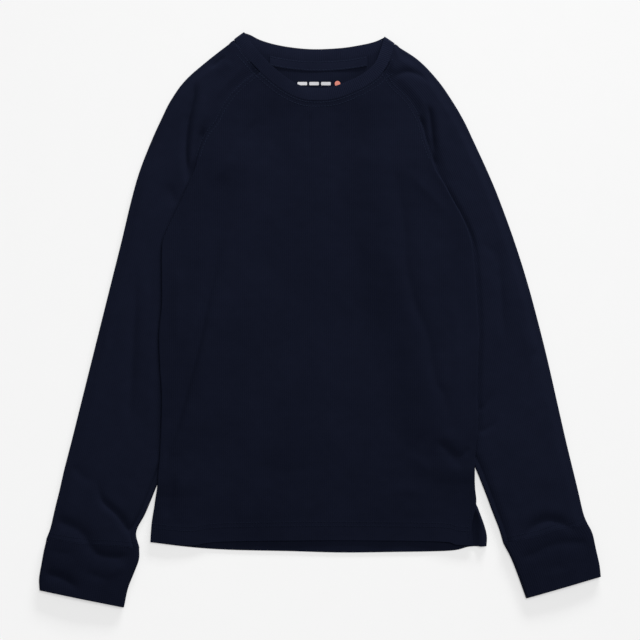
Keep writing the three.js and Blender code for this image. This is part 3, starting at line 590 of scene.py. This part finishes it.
def neckband_net(front_count=120, back_count=96):
    """The band as a ring: rows run across it, columns along the front and then back along the back."""
    sections = []

    def pick(line, place):
        return np.array([along(line["x"], place), along(line["y"], place)])

    def add(seam, edge, z, stand):
        points = [mix(seam, edge, f) for f in BAND_ACROSS]
        lift = 0.12 * np.sin(np.pi * BAND_ACROSS) + stand * BAND_ACROSS ** 1.5
        sections.append([(*at, z + up) for at, up in zip(points, lift)])

    def fold(place, way, angles):
        seam, edge = pick(NECK_FRONT, place), pick(EDGE_FRONT, place)
        across = unit(edge - seam)
        outward = np.array([way * across[1], -way * across[0]])
        radius = (BAND_HIGH - BAND_LOW) / 2
        for degrees in angles:
            angle = math.radians(degrees)
            move = outward * (radius * math.cos(angle) - BAND_INSET)
            add(seam + move, edge + move, BAND_LOW + radius + radius * math.sin(angle), 0)

    front_last, back_last = len(NECK_FRONT["x"]) - 1.0, len(NECK_BACK["x"]) - 1.0
    for k in range(1, front_count):
        share = k / front_count
        x = along(NECK_FRONT["x"], front_last * share)
        rise_left = 1 - smooth(x, FRONT["left_tuck"][-1], FRONT["left_tuck"][-1] + FRONT_RAMP)
        rise_right = smooth(x, FRONT["right_tuck"][-1] - FRONT_RAMP, FRONT["right_tuck"][-1])
        from_fold = min(share, 1 - share)
        z = mix(BAND_MIDDLE, BAND_HIGH + 0.2 * smooth(from_fold, 0, 0.1), max(rise_left, rise_right))
        stand = 0.2 + 1.1 * smooth(from_fold, 0.02, 0.14) * (1 - smooth(from_fold, 0.2, 0.42))
        add(pick(NECK_FRONT, front_last * share), pick(EDGE_FRONT, front_last * share), z, stand)
    fold(front_last, 1, [65, 45, 22, 0, -22, -45, -65])
    for k in range(back_count - 1, 0, -1):
        place = back_last * k / back_count
        add(pick(NECK_BACK, place), pick(EDGE_BACK, place), BAND_LOW, 0)
    fold(0.0, -1, [-65, -45, -22, 0, 22, 45, 65])
    return np.array(sections).transpose(1, 0, 2)


TAPE_ENDS = (-55, 52)
TAPE_DROP = 0.1  # from the band's seam down to the tape
TAPE_LIFT = 0.12  # from the panel up to the tape


def tape_net():
    """The tape inside the back neck, just below the band on the inner face of the back panel."""
    x = np.linspace(*TAPE_ENDS, 72)[None, :]
    f = np.linspace(0, 1, 9)[:, None]
    rise_left = 1 - smooth(x, BACK["left_tuck"][-1], BACK["left_tuck"][-1] + RAMP)
    rise_right = smooth(x, BACK["right_tuck"][-1] - RAMP, BACK["right_tuck"][-1])
    panel = mix(LOW, BACK_LAP, np.maximum(rise_left, rise_right))
    z = panel + (CLOTH + TAPE_WALL) / 2 + TAPE_LIFT + 0.1 * np.sin(np.pi * f)
    y = line_y(NECK_BACK, x) - TAPE_DROP - TAPE_WIDTH * f
    return np.stack([x + 0 * f, y, z + 0 * x], 2)


# Meshes
ROUNDED_EDGE = 0.1  # how far a cut edge stands out, as a share of half its wall


def pattern_place(net, start_column=0, ring=False):
    """Where each point lies on its flat cloth: across from one column, and along, in metres."""
    closed = np.concatenate([net, net[:, :1]], 1) if ring else net
    across = np.linalg.norm(np.diff(closed, axis=1), axis=2)
    u = np.concatenate([np.zeros((len(net), 1)), np.cumsum(across, 1)], 1)
    u = u - u[:, start_column:start_column + 1]
    if ring:
        u = np.broadcast_to(u[len(u) // 2], u.shape)
    down = np.linalg.norm(np.diff(closed[:, start_column], axis=0), axis=1)
    v = np.concatenate([[0], np.cumsum(down)])
    return np.stack([u, np.broadcast_to(v[:, None], u.shape)], 2) * MM


def cloth_piece(name, net, thickness, places, material, ring=False):
    """A thin closed shell of cloth round a net of middle points, its cut edges a little rounded."""
    rows, columns = net.shape[:2]
    row, column = np.arange(rows), np.arange(columns)
    if ring:
        across = np.roll(net, -1, 1) - np.roll(net, 1, 1)
    else:
        across = net[:, np.minimum(column + 1, columns - 1)] - net[:, np.maximum(column - 1, 0)]
    down = net[np.minimum(row + 1, rows - 1)] - net[np.maximum(row - 1, 0)]
    half = np.broadcast_to(np.asarray(thickness, float), (rows, columns))[..., None] / 2
    normal = unit(np.cross(across, down))
    size = rows * columns
    number = np.arange(size).reshape(rows, columns)
    if ring:
        corner = np.concatenate([number, number[:, :1]], 1)
        loops = [list(number[0]), list(number[-1])[::-1]]
    else:
        corner = number
        sides = number[0, :-1], number[:-1, -1], number[-1, :0:-1], number[:0:-1, 0]
        loops = [[i for side in sides for i in side]]
    seat = np.arange(corner.size).reshape(corner.shape)
    flat_net, flat_half = net.reshape(-1, 3), half.reshape(-1, 1)
    outward = np.zeros((size, 3))
    outward[number[0]] += unit(net[0] - net[1])
    outward[number[-1]] += unit(net[-1] - net[-2])
    if not ring:
        outward[number[:, 0]] += unit(net[:, 0] - net[:, 1])
        outward[number[:, -1]] += unit(net[:, -1] - net[:, -2])
    points = [flat_net + normal.reshape(-1, 3) * flat_half, flat_net - normal.reshape(-1, 3) * flat_half]

    def quads(grid):
        return np.stack([grid[:-1, :-1], grid[:-1, 1:], grid[1:, 1:], grid[1:, :-1]], 2).reshape(-1, 4)

    faces, seats = [quads(corner), quads(corner)[:, ::-1] + size], [quads(seat), quads(seat)[:, ::-1]]
    seat_of = np.zeros(size, int)
    seat_of[corner[:, :columns].ravel()] = seat[:, :columns].ravel()
    rim_start = 2 * size
    for loop in loops:
        loop = np.array(loop)
        after = np.roll(loop, -1)
        rim = rim_start + np.arange(len(loop))
        rim_after = np.roll(rim, -1)
        points.append(flat_net[loop] + unit(outward[loop]) * flat_half[loop] * ROUNDED_EDGE)
        faces.append(np.stack([after, loop, rim, rim_after], 1))
        faces.append(np.stack([rim_after, rim, loop + size, after + size], 1))
        pair_seats = np.stack([seat_of[after], seat_of[loop], seat_of[loop], seat_of[after]], 1)
        seats += [pair_seats, pair_seats]
        rim_start += len(loop)
    mesh = bpy.data.meshes.new(name)
    mesh.from_pydata((np.concatenate(points) * MM).tolist(), [], np.concatenate(faces).tolist())
    broad_faces = 2 * len(quads(corner))
    mesh.polygons.foreach_set("use_smooth", np.arange(len(mesh.polygons)) < broad_faces)
    edge_of = np.zeros(len(mesh.loops), int)
    mesh.loops.foreach_get("edge_index", edge_of)
    sharp = np.zeros(len(mesh.edges), bool)
    sharp[edge_of[4 * broad_faces:]] = True
    mesh.edges.foreach_set("use_edge_sharp", sharp)
    layer = mesh.uv_layers.new(name="cut_cloth")
    corner_places = places.reshape(-1, 2)[np.concatenate(seats).ravel()]
    layer.uv.foreach_set("vector", corner_places.astype(np.float32).ravel())
    return finished(name, mesh, material)


def finished(name, mesh, material):
    piece = bpy.data.objects.new(name, mesh)
    bpy.context.scene.collection.objects.link(piece)
    mesh.materials.append(material)
    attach(piece, "root")
    return piece


# Materials
def group_nodes(name, inputs, outputs):
    """An empty shader node group with named inputs and outputs."""
    group = bpy.data.node_groups.new(name, "ShaderNodeTree")
    for label, kind, value in inputs:
        socket = group.interface.new_socket(label, in_out="INPUT", socket_type=kind)
        if value is not None:
            socket.default_value = value
    for label, kind in outputs:
        group.interface.new_socket(label, in_out="OUTPUT", socket_type=kind)
    return group, group.nodes.new("NodeGroupInput"), group.nodes.new("NodeGroupOutput")


def maths(tree, operation, a, b=None, c=None):
    """One Math node; its inputs are numbers or sockets."""
    node = tree.nodes.new("ShaderNodeMath")
    node.operation = operation
    for slot_in, value in zip(node.inputs, (a, b, c)):
        if isinstance(value, (int, float)):
            slot_in.default_value = value
        elif value is not None:
            tree.links.new(value, slot_in)
    return node.outputs[0]


def times_plus(tree, a, b, c):
    return maths(tree, "MULTIPLY_ADD", a, b, c)


def give(node, values):
    """Sets the values of a node's own sockets."""
    for label, value in values.items():
        node.inputs[label].default_value = value


def noise(tree, place, scale, detail, roughness=0.6):
    node = tree.nodes.new("ShaderNodeTexNoise")
    give(node, {"Scale": scale, "Detail": detail, "Roughness": roughness})
    tree.links.new(place, node.inputs["Vector"])
    return node.outputs["Fac"]


def rib_knit_group():
    """Fine ribs with small knit loops along them: the height of the yarn, and how deep in a groove each
    point lies, which the knit paints darker as groove shade.
    """
    group, given, out = group_nodes(
        "rib_knit",
        [("Place", "NodeSocketVector", None), ("Rib width", "NodeSocketFloat", 0.0024),
         ("Loop length", "NodeSocketFloat", 0.0013), ("Unevenness", "NodeSocketFloat", 0.00025)],
        [("Height", "NodeSocketFloat"), ("Groove", "NodeSocketFloat"), ("Fleck", "NodeSocketFloat")])
    place = given.outputs["Place"]
    split = group.nodes.new("ShaderNodeSeparateXYZ")
    group.links.new(place, split.inputs[0])
    wander = maths(group, "SUBTRACT", noise(group, place, 55, 2), 0.5)
    across = times_plus(group, wander, given.outputs["Unevenness"], split.outputs["X"])
    turns = maths(group, "MULTIPLY", maths(group, "DIVIDE", across, given.outputs["Rib width"]), math.tau)
    rib = times_plus(group, maths(group, "COSINE", turns), 0.5, 0.5)
    lean = maths(group, "MULTIPLY", maths(group, "ABSOLUTE", maths(group, "SINE", turns)), 1.6)
    loop_turns = maths(group, "DIVIDE", split.outputs["Y"], given.outputs["Loop length"])
    loop_turns = maths(group, "MULTIPLY", loop_turns, math.tau)
    loops = times_plus(group, maths(group, "SINE", maths(group, "ADD", loop_turns, lean)), 0.5, 0.5)
    fuzz = noise(group, place, 2600, 2)
    height = times_plus(group, loops, 0.2, maths(group, "MULTIPLY", fuzz, 0.14))
    group.links.new(times_plus(group, rib, 0.66, height), out.inputs["Height"])
    group.links.new(maths(group, "POWER", maths(group, "SUBTRACT", 1.0, rib), 1.5), out.inputs["Groove"])
    group.links.new(noise(group, place, 900, 3, 0.7), out.inputs["Fleck"])
    return group


def cloth_wear_group():
    """Slow changes of tone over washed cloth, from 0 to 1."""
    group, given, out = group_nodes(
        "washed_tone", [("Place", "NodeSocketVector", None)], [("Tone", "NodeSocketFloat")])
    broad = noise(group, given.outputs["Place"], 9, 2)
    fine = noise(group, given.outputs["Place"], 70, 3)
    tone = times_plus(group, broad, 0.65, maths(group, "MULTIPLY", fine, 0.35))
    group.links.new(tone, out.inputs["Tone"])
    return group


RIB_KNIT = rib_knit_group()
WASHED_TONE = cloth_wear_group()


def new_material(name):
    material = bpy.data.materials.new(name)
    material.use_nodes = True
    tree = material.node_tree
    return material, tree, tree.nodes["Principled BSDF"]


def colour_between(tree, factor, low, high):
    node = tree.nodes.new("ShaderNodeMix")
    node.data_type = "RGBA"
    give(node, {"A": (*low, 1), "B": (*high, 1)})
    tree.links.new(factor, node.inputs["Factor"])
    return node.outputs["Result"]


def times(colour, factor):
    return tuple(c * factor for c in colour)


def raised(tree, surface, height, depth):
    """Bumps this deep, in metres, on a material's surface."""
    bump = tree.nodes.new("ShaderNodeBump")
    give(bump, {"Strength": 1.0, "Distance": depth})
    tree.links.new(height, bump.inputs["Height"])
    tree.links.new(bump.outputs["Normal"], surface.inputs["Normal"])


def placed_group(tree, group, place, values):
    node = tree.nodes.new("ShaderNodeGroup")
    node.node_tree = group
    give(node, values)
    tree.links.new(place, node.inputs["Place"])
    return node.outputs


def knit_material(name, colour, rib_width, rib_depth, loop_length=0.0013):
    """Navy ribbed cotton that follows the cut cloth. It is matt, with a faint down, and its grooves are
    painted darker as painted shade.
    """
    material, tree, surface = new_material(name)
    place = tree.nodes.new("ShaderNodeUVMap")
    place.uv_map = "cut_cloth"
    knit = placed_group(tree, RIB_KNIT, place.outputs["UV"],
                        {"Rib width": rib_width, "Loop length": loop_length})
    washed = placed_group(tree, WASHED_TONE, place.outputs["UV"], {})
    tone_and_groove_shade = times_plus(tree, washed["Tone"], 0.9, maths(tree, "MULTIPLY", knit["Fleck"], 0.5))
    # the grooves between the ribs are painted darker: painted shade, on top of the bumps
    tone_and_groove_shade = maths(tree, "SUBTRACT", tone_and_groove_shade, maths(tree, "MULTIPLY", knit["Groove"], 0.2))
    shown = colour_between(tree, tone_and_groove_shade, times(colour, 0.62), times(colour, 1.3))
    tree.links.new(shown, surface.inputs["Base Color"])
    tree.links.new(times_plus(tree, knit["Groove"], 0.08, 0.5), surface.inputs["Roughness"])
    raised(tree, surface, knit["Height"], rib_depth)
    give(surface, {"Specular IOR Level": 0.004, "Specular Tint": (0.40, 0.47, 0.95, 1),
                   "Sheen Weight": 0.02, "Sheen Roughness": 0.5, "Sheen Tint": (0.30, 0.36, 0.70, 1)})
    return material


# The body's navy, and the other pieces' navy as factors on it, with the width and depth of their ribs. The
# sleeves are the body's own cloth, painted a tenth lighter: painted light.
NAVY = (0.0063, 0.0079, 0.0168)
body_knit = knit_material("navy_fine_rib", NAVY, 0.0021, 0.00012)
# painted light: the sleeves' cloth is the body's, painted a tenth lighter
sleeve_knit_painted_lighter = knit_material("navy_fine_rib_sleeve_painted_light", times(NAVY, 1.1), 0.0021, 0.00012)
cuff_knit = knit_material("navy_cuff_rib", times(NAVY, 0.95), 0.0024, 0.00018, 0.0014)
band_knit = knit_material("navy_neck_rib", times(NAVY, 1.32), 0.0021, 0.00016, 0.0014)
tape_knit = knit_material("navy_neck_tape", times(NAVY, 1.25), 0.0011, 0.00012, 0.001)


def flecked_material(name, dark, light, grain, depth, values):
    """Fine flecks between two colours, as on thread and on ink."""
    material, tree, surface = new_material(name)
    where = tree.nodes.new("ShaderNodeTexCoord")
    fleck = noise(tree, where.outputs["Object"], *grain)
    tree.links.new(colour_between(tree, fleck, dark, light), surface.inputs["Base Color"])
    raised(tree, surface, fleck, depth)
    give(surface, values)
    return material


def thread_material(name, dark, light):
    return flecked_material(name, dark, light, (1800, 2), 0.00008, {
        "Roughness": 0.6, "Specular IOR Level": 0.02, "Specular Tint": (0.45, 0.55, 1.0, 1)})


def print_material(name, colour):
    """Soft plastic ink pressed into the knit."""
    return flecked_material(name, times(colour, 0.72), colour, (1200, 3, 0.7), 0.00006, {"Roughness": 0.55})


seam_thread = thread_material("navy_thread", (0.0102, 0.0142, 0.0282), (0.0174, 0.0240, 0.0468))
hem_thread = thread_material("navy_thread_hem", (0.0060, 0.0080, 0.0163), (0.0099, 0.0134, 0.0266))
ink_white = print_material("ink_off_white", (0.75, 0.75, 0.78))
ink_coral = print_material("ink_coral", (0.80, 0.24, 0.17))

# The cloth pieces
front_net = panel_net(FRONT, NECK_FRONT, HEM_FRONT, front_heights, FRONT_RAMP, FRONT_CREASES,
                      step=2.1, seed=3, deepest=1.2, fade=(1.5, 11))
back_net = panel_net(BACK, NECK_BACK, HEM_BACK, back_heights, RAMP, BACK_CREASES,
                     step=3.2, seed=7, deepest=0.0, fade=(0, 2))


def hem_thickness(net, line, wall):
    """The wall of a panel: double in the turned-up hem, thinner where the needles pull it in."""
    above_edge = net[..., 1] - line_y(line, np.clip(net[..., 0], line["x"][0], line["x"][-1]))
    return mix(HEM_WALL, wall, smooth(above_edge, HEM_DEPTH - 1.5, HEM_DEPTH + 2.5))


front_panel = cloth_piece("front_panel_cloth", front_net, hem_thickness(front_net, HEM_FRONT, CLOTH),
                          front_net[..., :2] * MM, body_knit)
back_panel = cloth_piece("back_panel_cloth", back_net, CLOTH, back_net[..., :2] * MM, body_knit)

ARMS = {"left": (SLEEVE_LEFT, CUFF_LEFT, LEFT_ARM_CREASES, 11),
        "right": (SLEEVE_RIGHT, CUFF_RIGHT, RIGHT_ARM_CREASES, 17)}
OUTER_COLUMN = len(INNER_FOLD) + len(UNDER_STEPS) + len(OUTER_FOLD) // 2
CUFF_OUTER_COLUMN = 20
arm_nets, sleeves, cuffs = {}, {}, {}
for side, (sleeve, _, creases, seed) in ARMS.items():
    arm_nets[side] = net = sleeve_net(sleeve, side, creases, step=2.3, seed=seed)
    sleeves[side] = cloth_piece(f"sleeve_{side}_cloth", net, CLOTH,
                                pattern_place(net, OUTER_COLUMN), sleeve_knit_painted_lighter)
for side, (_, cuff, creases, seed) in ARMS.items():
    net = cuff_net(cuff, side, creases, count=36, seed=seed)
    cuffs[side] = cloth_piece(f"cuff_{side}_rib", net, RIB,
                              pattern_place(net, CUFF_OUTER_COLUMN, ring=True), cuff_knit, ring=True)
band_net = neckband_net()
band_wall = BAND * (0.8 + 0.2 * np.sin(np.pi * BAND_ACROSS) ** 0.5)  # thinner at both edges
neckband = cloth_piece("neckband_rib", band_net, band_wall[:, None], pattern_place(band_net, ring=True),
                       band_knit, ring=True)
strip_net = tape_net()[::-1]
neck_tape = cloth_piece("neck_tape_strip", strip_net, TAPE_WALL, strip_net[..., :2] * MM, tape_knit)


# Sewing
def one_stitch():
    """A stitch lying along X: a small rounded bar, thinner at its ends. Its points and faces."""
    bpy.ops.object.select_all(action="DESELECT")
    bpy.ops.mesh.primitive_uv_sphere_add(segments=6, ring_count=5, radius=0.5)
    bar = bpy.context.object
    bpy.ops.object.mode_set(mode="EDIT")
    bpy.ops.transform.rotate(value=math.pi / 2, orient_axis="Y", center_override=(0, 0, 0))
    bpy.ops.transform.resize(value=(STITCH, THREAD, THREAD * 0.8))
    bpy.ops.object.mode_set(mode="OBJECT")
    points = np.array([v.co for v in bar.data.vertices])
    faces = sorted(list(p.vertices) for p in bar.data.polygons)  # the sphere's own order varies
    bpy.data.objects.remove(bar, do_unlink=True)
    return points, faces


STITCH_POINTS, STITCH_FACES = one_stitch()
DOWN = Vector((0, 0, -1))


def surface_of(*pieces):
    """The pieces' faces as one tree, for finding the cloth's surface."""
    points, faces = [], []
    for piece in pieces:
        start = len(points)
        points += [v.co.copy() for v in piece.data.vertices]
        faces += [[start + i for i in p.vertices] for p in piece.data.polygons]
    return BVHTree.FromPolygons(points, faces)


def evenly(line, spacing):
    """Points along a drawn line at an even spacing, with the direction there."""
    line = np.array(line, float)
    run = np.concatenate([[0], np.cumsum(np.linalg.norm(np.diff(line, axis=0), axis=1))])
    at = np.arange(spacing / 2, run[-1], spacing)
    points = np.stack([np.interp(at, run, line[:, 0]), np.interp(at, run, line[:, 1])], 1)
    ahead = np.stack([np.interp(at + 1, run, line[:, 0]), np.interp(at + 1, run, line[:, 1])], 1)
    behind = np.stack([np.interp(at - 1, run, line[:, 0]), np.interp(at - 1, run, line[:, 1])], 1)
    return points, unit(ahead - behind)


def sew(name, lines, thread, cloth):
    """Stitches along lines of x and y, each laid on the cloth that a look from above meets first."""
    points, faces = [], []
    dice = np.random.default_rng(len(name))
    for line in lines:
        for (x, y), (dx, dy) in zip(*evenly(line, STITCH + STITCH_GAP)):
            hit, normal, _, _ = cloth.ray_cast(Vector((x * MM, y * MM, 0.05)), DOWN)
            if hit is None or normal.z < 0.2:
                continue
            ahead = Vector((dx, dy, 0))
            ahead = (ahead - normal * ahead.dot(normal)).normalized()
            side = normal.cross(ahead)
            turn = dice.uniform(-0.06, 0.06)
            ahead, side = ahead + side * turn, side - ahead * turn
            axes = np.array([ahead, side, normal])
            seat = np.array(hit) * 1000 + np.array(normal) * (THREAD * 0.12)
            faces += [[len(points) + i for i in face] for face in STITCH_FACES]
            points += (STITCH_POINTS @ axes + seat).tolist()
    mesh = bpy.data.meshes.new(name)
    mesh.from_pydata((np.array(points) * MM).tolist(), [], faces)
    mesh.shade_smooth()
    return finished(name, mesh, thread)


def offset(line, distance):
    """A line moved sideways, to its left where the distance is above zero."""
    line = np.array(line, float)
    ahead = unit(np.gradient(line, axis=0))
    return line + distance * np.stack([-ahead[:, 1], ahead[:, 0]], 1)


def neck_line(gap, start, end):
    """A line this far below the front of the neck."""
    x = np.linspace(start, end, 90)
    return np.stack([x, line_below(NECK_FRONT, x, gap)], 1)


def hem_line(up):
    """A line across the front panel, this far above its hem."""
    x = np.linspace(front_net[3, 0, 0] + 2, front_net[3, -1, 0] - 2, 120)
    return np.stack([x, line_y(HEM_FRONT, x) + up], 1)


outside = surface_of(front_panel, *sleeves.values(), *cuffs.values())
raglan_left = front_net[front_net[:, 0, 1] > 178][:, 0, :2]
raglan_right = front_net[front_net[:, -1, 1] > 176][:, -1, :2]
vent_left, vent_right = front_net[4:22, 0, :2], front_net[4:22, -1, :2]
neck_lines = [neck_line(BESIDE_SEAM, -92.5, 81), neck_line(BESIDE_SEAM + TWIN_NEEDLES, -91, 80)]
neck_sewing = sew("neck_coverstitch", neck_lines, seam_thread, outside)
raglan_lines = [offset(raglan_left, d) for d in (-BESIDE_SEAM, BESIDE_SEAM)]
raglan_sewing_left = sew("raglan_stitch_left", raglan_lines, seam_thread, outside)
raglan_lines = [offset(raglan_right, d) for d in (BESIDE_SEAM, -BESIDE_SEAM)]
raglan_sewing_right = sew("raglan_stitch_right", raglan_lines, seam_thread, outside)
hem_lines = [hem_line(HEM_DEPTH), hem_line(HEM_DEPTH - TWIN_NEEDLES)]
hem_sewing = sew("hem_coverstitch", hem_lines, hem_thread, outside)
vent_lines = [offset(vent_right, BESIDE_VENT), offset(vent_left, -BESIDE_VENT)]
vent_sewing = sew("vent_stitch", vent_lines, hem_thread, outside)
for side, net in arm_nets.items():
    row = net[0, OUTER_COLUMN:, :2]
    up = unit(net[2].mean(0)[:2] - net[0].mean(0)[:2])
    lines = [row + up * d for d in (BESIDE_CUFF, BESIDE_CUFF + TWIN_NEEDLES)]
    sew("cuff_coverstitch_" + side, lines, hem_thread, outside)
tape_x = np.linspace(-54, 51, 60)
tape_y = line_y(NECK_BACK, tape_x) - TAPE_DROP
tape_lines = [np.stack([tape_x, tape_y - d], 1) for d in (INSIDE_TAPE, TAPE_WIDTH - INSIDE_TAPE)]
tape_stitch = sew("neck_tape_stitch", tape_lines, seam_thread, surface_of(neck_tape))

# A plain printed mark inside the back neck: three short dashes and a round dot
INK = 0.16
inside_back = surface_of(back_panel)


def printed_shape(name, outlines, material):
    """Flat ink in these outlines, lying on the inner face of the back panel."""
    points, faces = [], []
    for outline in outlines:
        for lift in (INK, 0.0):
            for x, y in outline:
                hit = inside_back.ray_cast(Vector((x * MM, y * MM, 0.004)), DOWN)[0]
                points.append((x * MM, y * MM, hit.z + lift * MM))
        count, start = len(outline), len(points) - 2 * len(outline)
        faces.append([start + i for i in range(count)])
        faces.append([start + count + i for i in reversed(range(count))])
        for i in range(count):
            after = (i + 1) % count
            faces.append([start + after, start + i, start + count + i, start + count + after])
    mesh = bpy.data.meshes.new(name)
    mesh.from_pydata(points, [], faces)
    return finished(name, mesh, material)


def rounded_bar(x, y, wide, high, corner=0.8):
    """The outline of a bar with round corners, its middle at x and y."""
    outline = []
    for sx, sy, start in ((1, 1, 0), (-1, 1, 90), (-1, -1, 180), (1, -1, 270)):
        for degrees in range(start, start + 91, 30):
            angle = math.radians(degrees)
            outline.append((x + sx * (wide / 2 - corner) + corner * math.cos(angle),
                            y + sy * (high / 2 - corner) + corner * math.sin(angle)))
    return outline


MARK_Y = 259.6
DASHES_X, DASH, DOT_X, DOT = (-19.2, -6.2, 6.8), (10.6, 3.6), 19.6, 6.2
dashes = [rounded_bar(x, MARK_Y, *DASH) for x in DASHES_X]
mark_dashes = printed_shape("neck_mark_dashes", dashes, ink_white)
mark_dot = printed_shape("neck_mark_dot", [rounded_bar(DOT_X, MARK_Y, DOT, DOT, DOT / 2)], ink_coral)

# The parts of model.glb that the cloth pieces stand for are hidden
for piece, node, slot in (
        (front_panel, "front_panel", "knit"), (back_panel, "back_panel", "knit"),
        (sleeves["left"], "sleeve_left", "knit"), (sleeves["right"], "sleeve_right", "knit"),
        (cuffs["left"], "cuff_left", "rib"), (cuffs["right"], "cuff_right", "rib"),
        (neckband, "neckband", "rib"), (neck_tape, "neck_tape", "tape")):
    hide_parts(node)

# Floor, light and camera. The floor glows softly, and its tone evens out the light that falls on it.
floor_material, floor_tree, floor_surface = new_material("pale_paper")
where = floor_tree.nodes.new("ShaderNodeTexCoord")
paper = noise(floor_tree, where.outputs["Object"], 40, 2)
floor_place = floor_tree.nodes.new("ShaderNodeSeparateXYZ")
floor_tree.links.new(where.outputs["Object"], floor_place.inputs[0])
paper_tone = times_plus(floor_tree, paper, 0.05, 0.455)
paper_tone = times_plus(floor_tree, floor_place.outputs["Y"], -0.97, paper_tone)
paper_tone = times_plus(floor_tree, floor_place.outputs["X"], -0.35, paper_tone)
paper_colour = colour_between(floor_tree, paper_tone, (0.42, 0.42, 0.42), (0.60, 0.60, 0.60))
floor_tree.links.new(paper_colour, floor_surface.inputs["Base Color"])
give(floor_surface, {"Roughness": 0.95, "Specular IOR Level": 0.0,
                     "Emission Color": (1, 1, 1, 1), "Emission Strength": 0.46})
floor_mesh = bpy.data.meshes.new("floor")
floor_mesh.from_pydata([(-3, -3, 0), (3, -3, 0), (3, 3, 0), (-3, 3, 0)], [], [(0, 1, 2, 3)])
floor = bpy.data.objects.new("floor", floor_mesh)
bpy.context.scene.collection.objects.link(floor)
floor_mesh.materials.append(floor_material)


def softbox(name, place, aim, size, watts):
    light = bpy.data.lights.new(name, "AREA")
    light.shape = "RECTANGLE"
    light.size, light.size_y = size
    light.energy = watts
    lamp = bpy.data.objects.new(name, light)
    lamp.location = place
    lamp.rotation_euler = (Vector(aim) - Vector(place)).to_track_quat("-Z", "Y").to_euler()
    bpy.context.scene.collection.objects.link(lamp)


softbox("top_softbox", (0.55, 1.0, 2.8), (0, 0.1, 0), (1.3, 1.3), 44)
softbox("low_softbox", (0.70, 2.35, 0.57), (0, 0, 0), (1.5, 0.35), 76)
world = bpy.data.worlds.new("studio")
bpy.context.scene.world = world
world.use_nodes = True
give(world.node_tree.nodes["Background"], {"Color": (1, 1, 1, 1), "Strength": 0.24})

camera_data = bpy.data.cameras.new("camera")
camera_data.lens = 85
camera_data.sensor_width = 36
camera = bpy.data.objects.new("camera", camera_data)
camera.location = (0.0003, -0.0008, 1.6665)
bpy.context.scene.collection.objects.link(camera)
bpy.context.scene.camera = camera
bpy.context.scene.view_settings.view_transform = "Standard"
